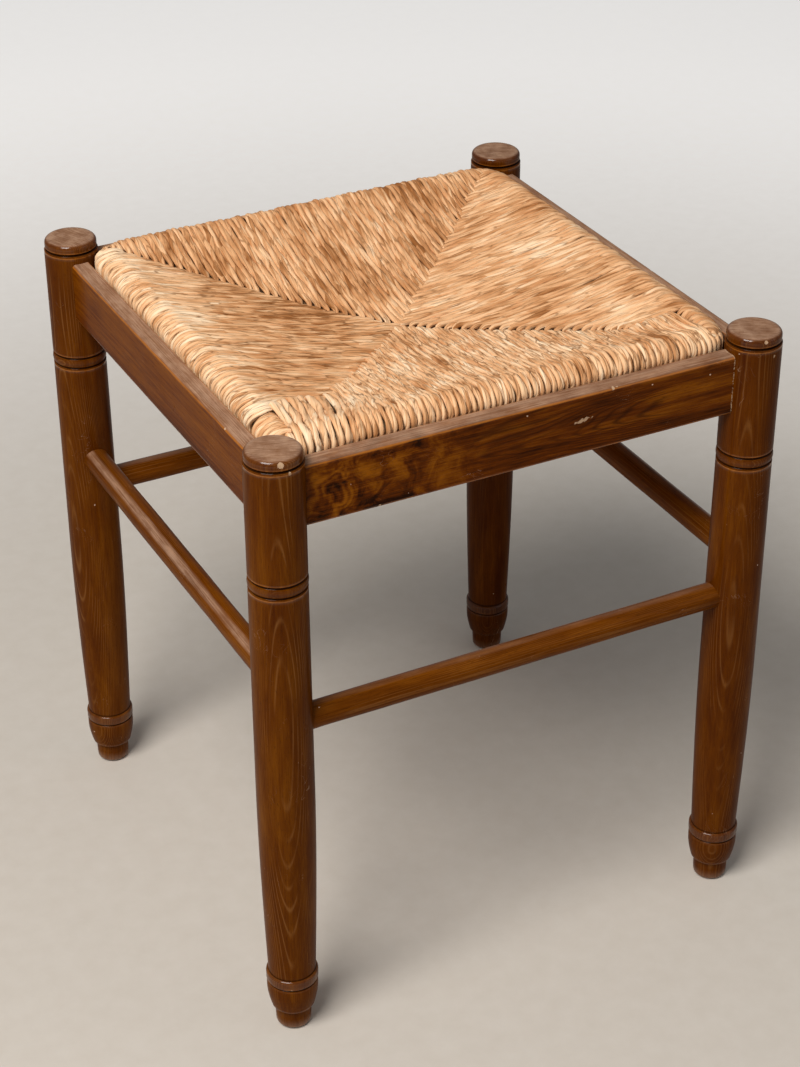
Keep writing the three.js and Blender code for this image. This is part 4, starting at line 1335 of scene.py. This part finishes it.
# %% The winding tree
def make_winding_tree():
    tree, given, result = group_tree(
        "wind_rush",
        {"Guides": "NodeSocketGeometry", "Folds": 3, "Fold Depth": 0.36, "Crinkle": 0.3 * MM,
         "Points Around": 12, "Seed": 1, "Finish": "NodeSocketMaterial"},
        ["Rush"], "GeometryNodeTree", "NodeSocketGeometry")
    place = add(tree, "GeometryNodeInputPosition").outputs["Position"]
    swept, angle = sweep(tree, given, place), stored(tree, "round")
    # A crease runs where a half turn's cosine is zero, and the leaves between creases are numbered
    half_turns = times(tree, times(tree, angle, given["Folds"]), 0.5)
    fold = calc(tree, "ABSOLUTE", calc(tree, "COSINE", half_turns))
    laid = joined(tree, X=times(tree, calc(tree, "COSINE", angle), HALF_WIDTH * MM),
                  Y=times(tree, calc(tree, "SINE", angle), HALF_WIDTH * MM), Z=stored(tree, "along"))
    swept = store(tree, swept, "laid", laid, "FLOAT_VECTOR")
    leaf_index = calc(tree, "FLOOR", total(tree, calc(tree, "DIVIDE", half_turns, math.pi), 0.5))
    leaf_index = calc(tree, "MODULO", leaf_index, given["Folds"])
    strand = joined(tree, X=stored(tree, "leaf"), Y=leaf_index, Z=fold)
    swept = store(tree, swept, "strand", strand, "FLOAT_VECTOR")
    # The folds, the crinkle and the press all move a point toward or away from its middle line
    off = vec(tree, "SUBTRACT", place, stored(tree, "middle", "FLOAT_VECTOR"))
    drawn = vec(tree, "MULTIPLY", stored(tree, "laid", "FLOAT_VECTOR"), (1.0, 1.0, 0.22))
    seeded = vec(tree, "ADD", drawn, joined(tree, X=given["Seed"]))
    rough = calc(tree, "SUBTRACT", noise(tree, seeded, 420.0, 2.0, 0.6), 0.5)
    rounder = between(tree, stored(tree, "press"), 0.8, 0.96, 1.0, 0.6)
    deep = times(tree, times(tree, given["Fold Depth"], rounder), times(tree, rough, 1.6, 1.0))
    folded = calc(tree, "SUBTRACT", 1.0, times(tree, deep, calc(tree, "SUBTRACT", 1.0, fold)))
    off = vec(tree, "SCALE", off, folded)
    crinkle = times(tree, rough, times(tree, given["Crinkle"], 2.0))
    off = pushed(tree, off, vec(tree, "NORMALIZE", off), crinkle)
    lift = vec(tree, "NORMALIZE", stored(tree, "lift", "FLOAT_VECTOR"))
    height = vec(tree, "DOT_PRODUCT", off, lift)
    flatten = times(tree, height, calc(tree, "SUBTRACT", stored(tree, "press"), 1.0))
    off = pushed(tree, off, lift, flatten)
    swept = store(tree, swept, "crown", calc(tree, "DIVIDE", height, HALF_WIDTH * MM))
    moved = vec(tree, "ADD", stored(tree, "middle", "FLOAT_VECTOR"), off)
    swept = add(tree, "GeometryNodeSetPosition", {"Geometry": swept, "Position": moved}).outputs["Geometry"]
    swept = add(tree, "GeometryNodeRealizeInstances", {"Geometry": swept}).outputs["Geometry"]
    plug(tree, result["Rush"], add(tree, "GeometryNodeSetMaterial", {
        "Geometry": swept, "Material": given["Finish"]}).outputs["Geometry"])
    return tree


winding = make_winding_tree()
print("tree", winding.name, "with", len(winding.nodes), "nodes")


# %% Wind the four sides
WORKING_VALUES = ("middle", "round", "lift", "half_width", "press", "along", "leaf", "twist")


def wind(name, points, edges, values, settings):
    """Runs the tree on the guides and keeps the result as a plain mesh."""
    mesh = bpy.data.meshes.new(name + "_guides")
    mesh.from_pydata([tuple(p) for p in points * MM], edges, [])
    store_values(mesh, values)
    guide = bpy.data.objects.new(name + "_guides", mesh)
    scene.collection.objects.link(guide)
    modifier = guide.modifiers.new("wind", "NODES")
    modifier.node_group = winding
    for item in winding.interface.items_tree:
        if item.in_out == "INPUT" and item.name in settings:
            modifier[item.identifier] = settings[item.name]
    wound = bpy.data.meshes.new_from_object(guide.evaluated_get(bpy.context.evaluated_depsgraph_get()))
    wound.name = name
    bpy.data.objects.remove(guide)
    for key in WORKING_VALUES:
        if key in wound.attributes:
            wound.attributes.remove(wound.attributes[key])
    wound.shade_smooth()
    piece = bpy.data.objects.new(name, wound)
    scene.collection.objects.link(piece)
    return piece


for index, side in enumerate(SIDES):
    points, edges, values = side_guides(side, 100 + index)
    values["lift"] = values["lift"] @ side_turn(side)
    rush = wind(f"wound_rush_{side}", points @ side_turn(side), edges, values,
                {"Seed": index + 1, "Fold Depth": SIDE_SHADES_AND_LOOKS[side][3], "Finish": golden_rush})
    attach(rush, "seat")
    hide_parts(f"rush_{side}")
    triangles = sum(len(p.vertices) - 2 for p in rush.data.polygons)
    print(rush.name, len(rush.data.vertices), "points", triangles, "triangles")

# %% [markdown]
# ## Stuffing
# Between the upper and lower layers the winder packs straw, which gives the seat its crown and
# makes the gaps between strands dark. It is packed hard and hardly shows, so cloth simulation
# would change nothing that can be seen. The solid wedge is copied, its surface is rebuilt in small
# squares, and two waves make it lumpy.

# %% Stuffing
SQUARE, LUMP, WEDGE_MIDDLE = 2.6, 0.16, 422


def stuff(name, solid):
    """A lumpy copy of a solid wedge."""
    mesh = solid.data.copy()
    mesh.name = name
    work = bmesh.new()
    work.from_mesh(mesh)
    bmesh.ops.remove_doubles(work, verts=work.verts, dist=1e-6)
    work.to_mesh(mesh)
    work.free()
    pad = bpy.data.objects.new(name, mesh)
    scene.collection.objects.link(pad)
    remesh = pad.modifiers.new("small_squares", "REMESH")
    remesh.mode = "VOXEL"
    remesh.voxel_size = SQUARE * MM
    settled = bpy.data.meshes.new_from_object(pad.evaluated_get(bpy.context.evaluated_depsgraph_get()))
    pad.modifiers.clear()
    pad.data = settled
    places = np.zeros(len(settled.vertices) * 3, np.float32)
    settled.vertices.foreach_get("co", places)
    places = places.reshape(-1, 3)
    lumps = np.sin(places[:, 0] * 900) * np.sin(places[:, 1] * 760 + 1.3)
    places[:, 2] += (LUMP * lumps - LUMP) * MM * np.sign(places[:, 2] - WEDGE_MIDDLE * MM)
    settled.vertices.foreach_set("co", places.ravel())
    settled.materials.clear()
    settled.materials.append(packed_straw)
    settled.shade_smooth()
    return pad


for side in SIDES:
    pad = stuff(f"straw_stuffing_{side}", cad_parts[f"stuffing_{side}"])
    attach(pad, "seat")
    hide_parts(f"stuffing_{side}")
print("stuffing:", len(pad.data.polygons), "faces each")

# %% [markdown]
# ## Floor and light
# The stool stands on a plain pale floor under a large soft lamp from the front left, as by a
# window, with a weaker one from the right and an even pale world. More lamps would lift the
# shadows but wash out the colours, so the levels stay plain, and a colour comes out about as it is
# written. Toward the edge the floor glows a little, but only for the camera, so that it fades into
# the pale room without lighting the stool.

# %% Floor
FLOOR_RADIUS, FLOOR_DROP = 9.0, 0.5 * MM
floor_material, tree, shader = new_material("pale_floor")
speckle = noise(tree, own_place(tree), 60.0, 4.0, 0.6)
floor_tone = blend_colour(tree, speckle, (0.57, 0.51, 0.44), (0.64, 0.585, 0.52))
plug(tree, shader.inputs["Base Color"], floor_tone)
shader.inputs["Roughness"].default_value = 0.8
glow = between(tree, vec(tree, "LENGTH", own_place(tree)), 0.35, 1.7, 0.0, 0.5)
camera_ray = add(tree, "ShaderNodeLightPath").outputs["Is Camera Ray"]
shader.inputs["Emission Color"].default_value = (0.95, 0.97, 1.0, 1.0)
plug(tree, shader.inputs["Emission Strength"], times(tree, glow, camera_ray))
work = bmesh.new()
bmesh.ops.create_circle(work, cap_ends=True, radius=FLOOR_RADIUS, segments=96)
floor_mesh = bpy.data.meshes.new("floor")
work.to_mesh(floor_mesh)
work.free()
floor_mesh.materials.append(floor_material)
floor = bpy.data.objects.new("floor", floor_mesh)
floor.location.z = -FLOOR_DROP
scene.collection.objects.link(floor)
print("floor:", 2 * FLOOR_RADIUS, "m across")


# %% Lamps and world
ROOM_LIGHT = 0.25


def lamp(name, place, aim, size, power, colour):
    data = bpy.data.lights.new(name, "AREA")
    data.shape = "RECTANGLE"
    data.size, data.size_y = size
    data.energy = power
    data.color = colour
    light = bpy.data.objects.new(name, data)
    light.location = place
    light.rotation_mode = "QUATERNION"
    light.rotation_quaternion = (Vector(aim) - Vector(place)).to_track_quat("-Z", "Y")
    scene.collection.objects.link(light)


lamp("window_lamp", (-1.5, -0.9, 2.6), (0, 0, 0.3), (1.4, 1.2), 86.0, (1.0, 0.985, 0.96))
lamp("fill_lamp", (1.9, -1.9, 1.5), (0, 0, 0.25), (1.6, 1.2), 3.0, (0.97, 0.985, 1.0))
world = bpy.data.worlds.new("pale_room")
world.use_nodes = True
tree = world.node_tree
background = tree.nodes["Background"].inputs
background["Color"].default_value = (0.93, 0.95, 0.97, 1.0)
camera_ray = add(tree, "ShaderNodeLightPath").outputs["Is Camera Ray"]
plug(tree, background["Strength"], times(tree, camera_ray, 1.0 - ROOM_LIGHT, ROOM_LIGHT))
scene.world = world
scene.view_settings.view_transform = "Standard"
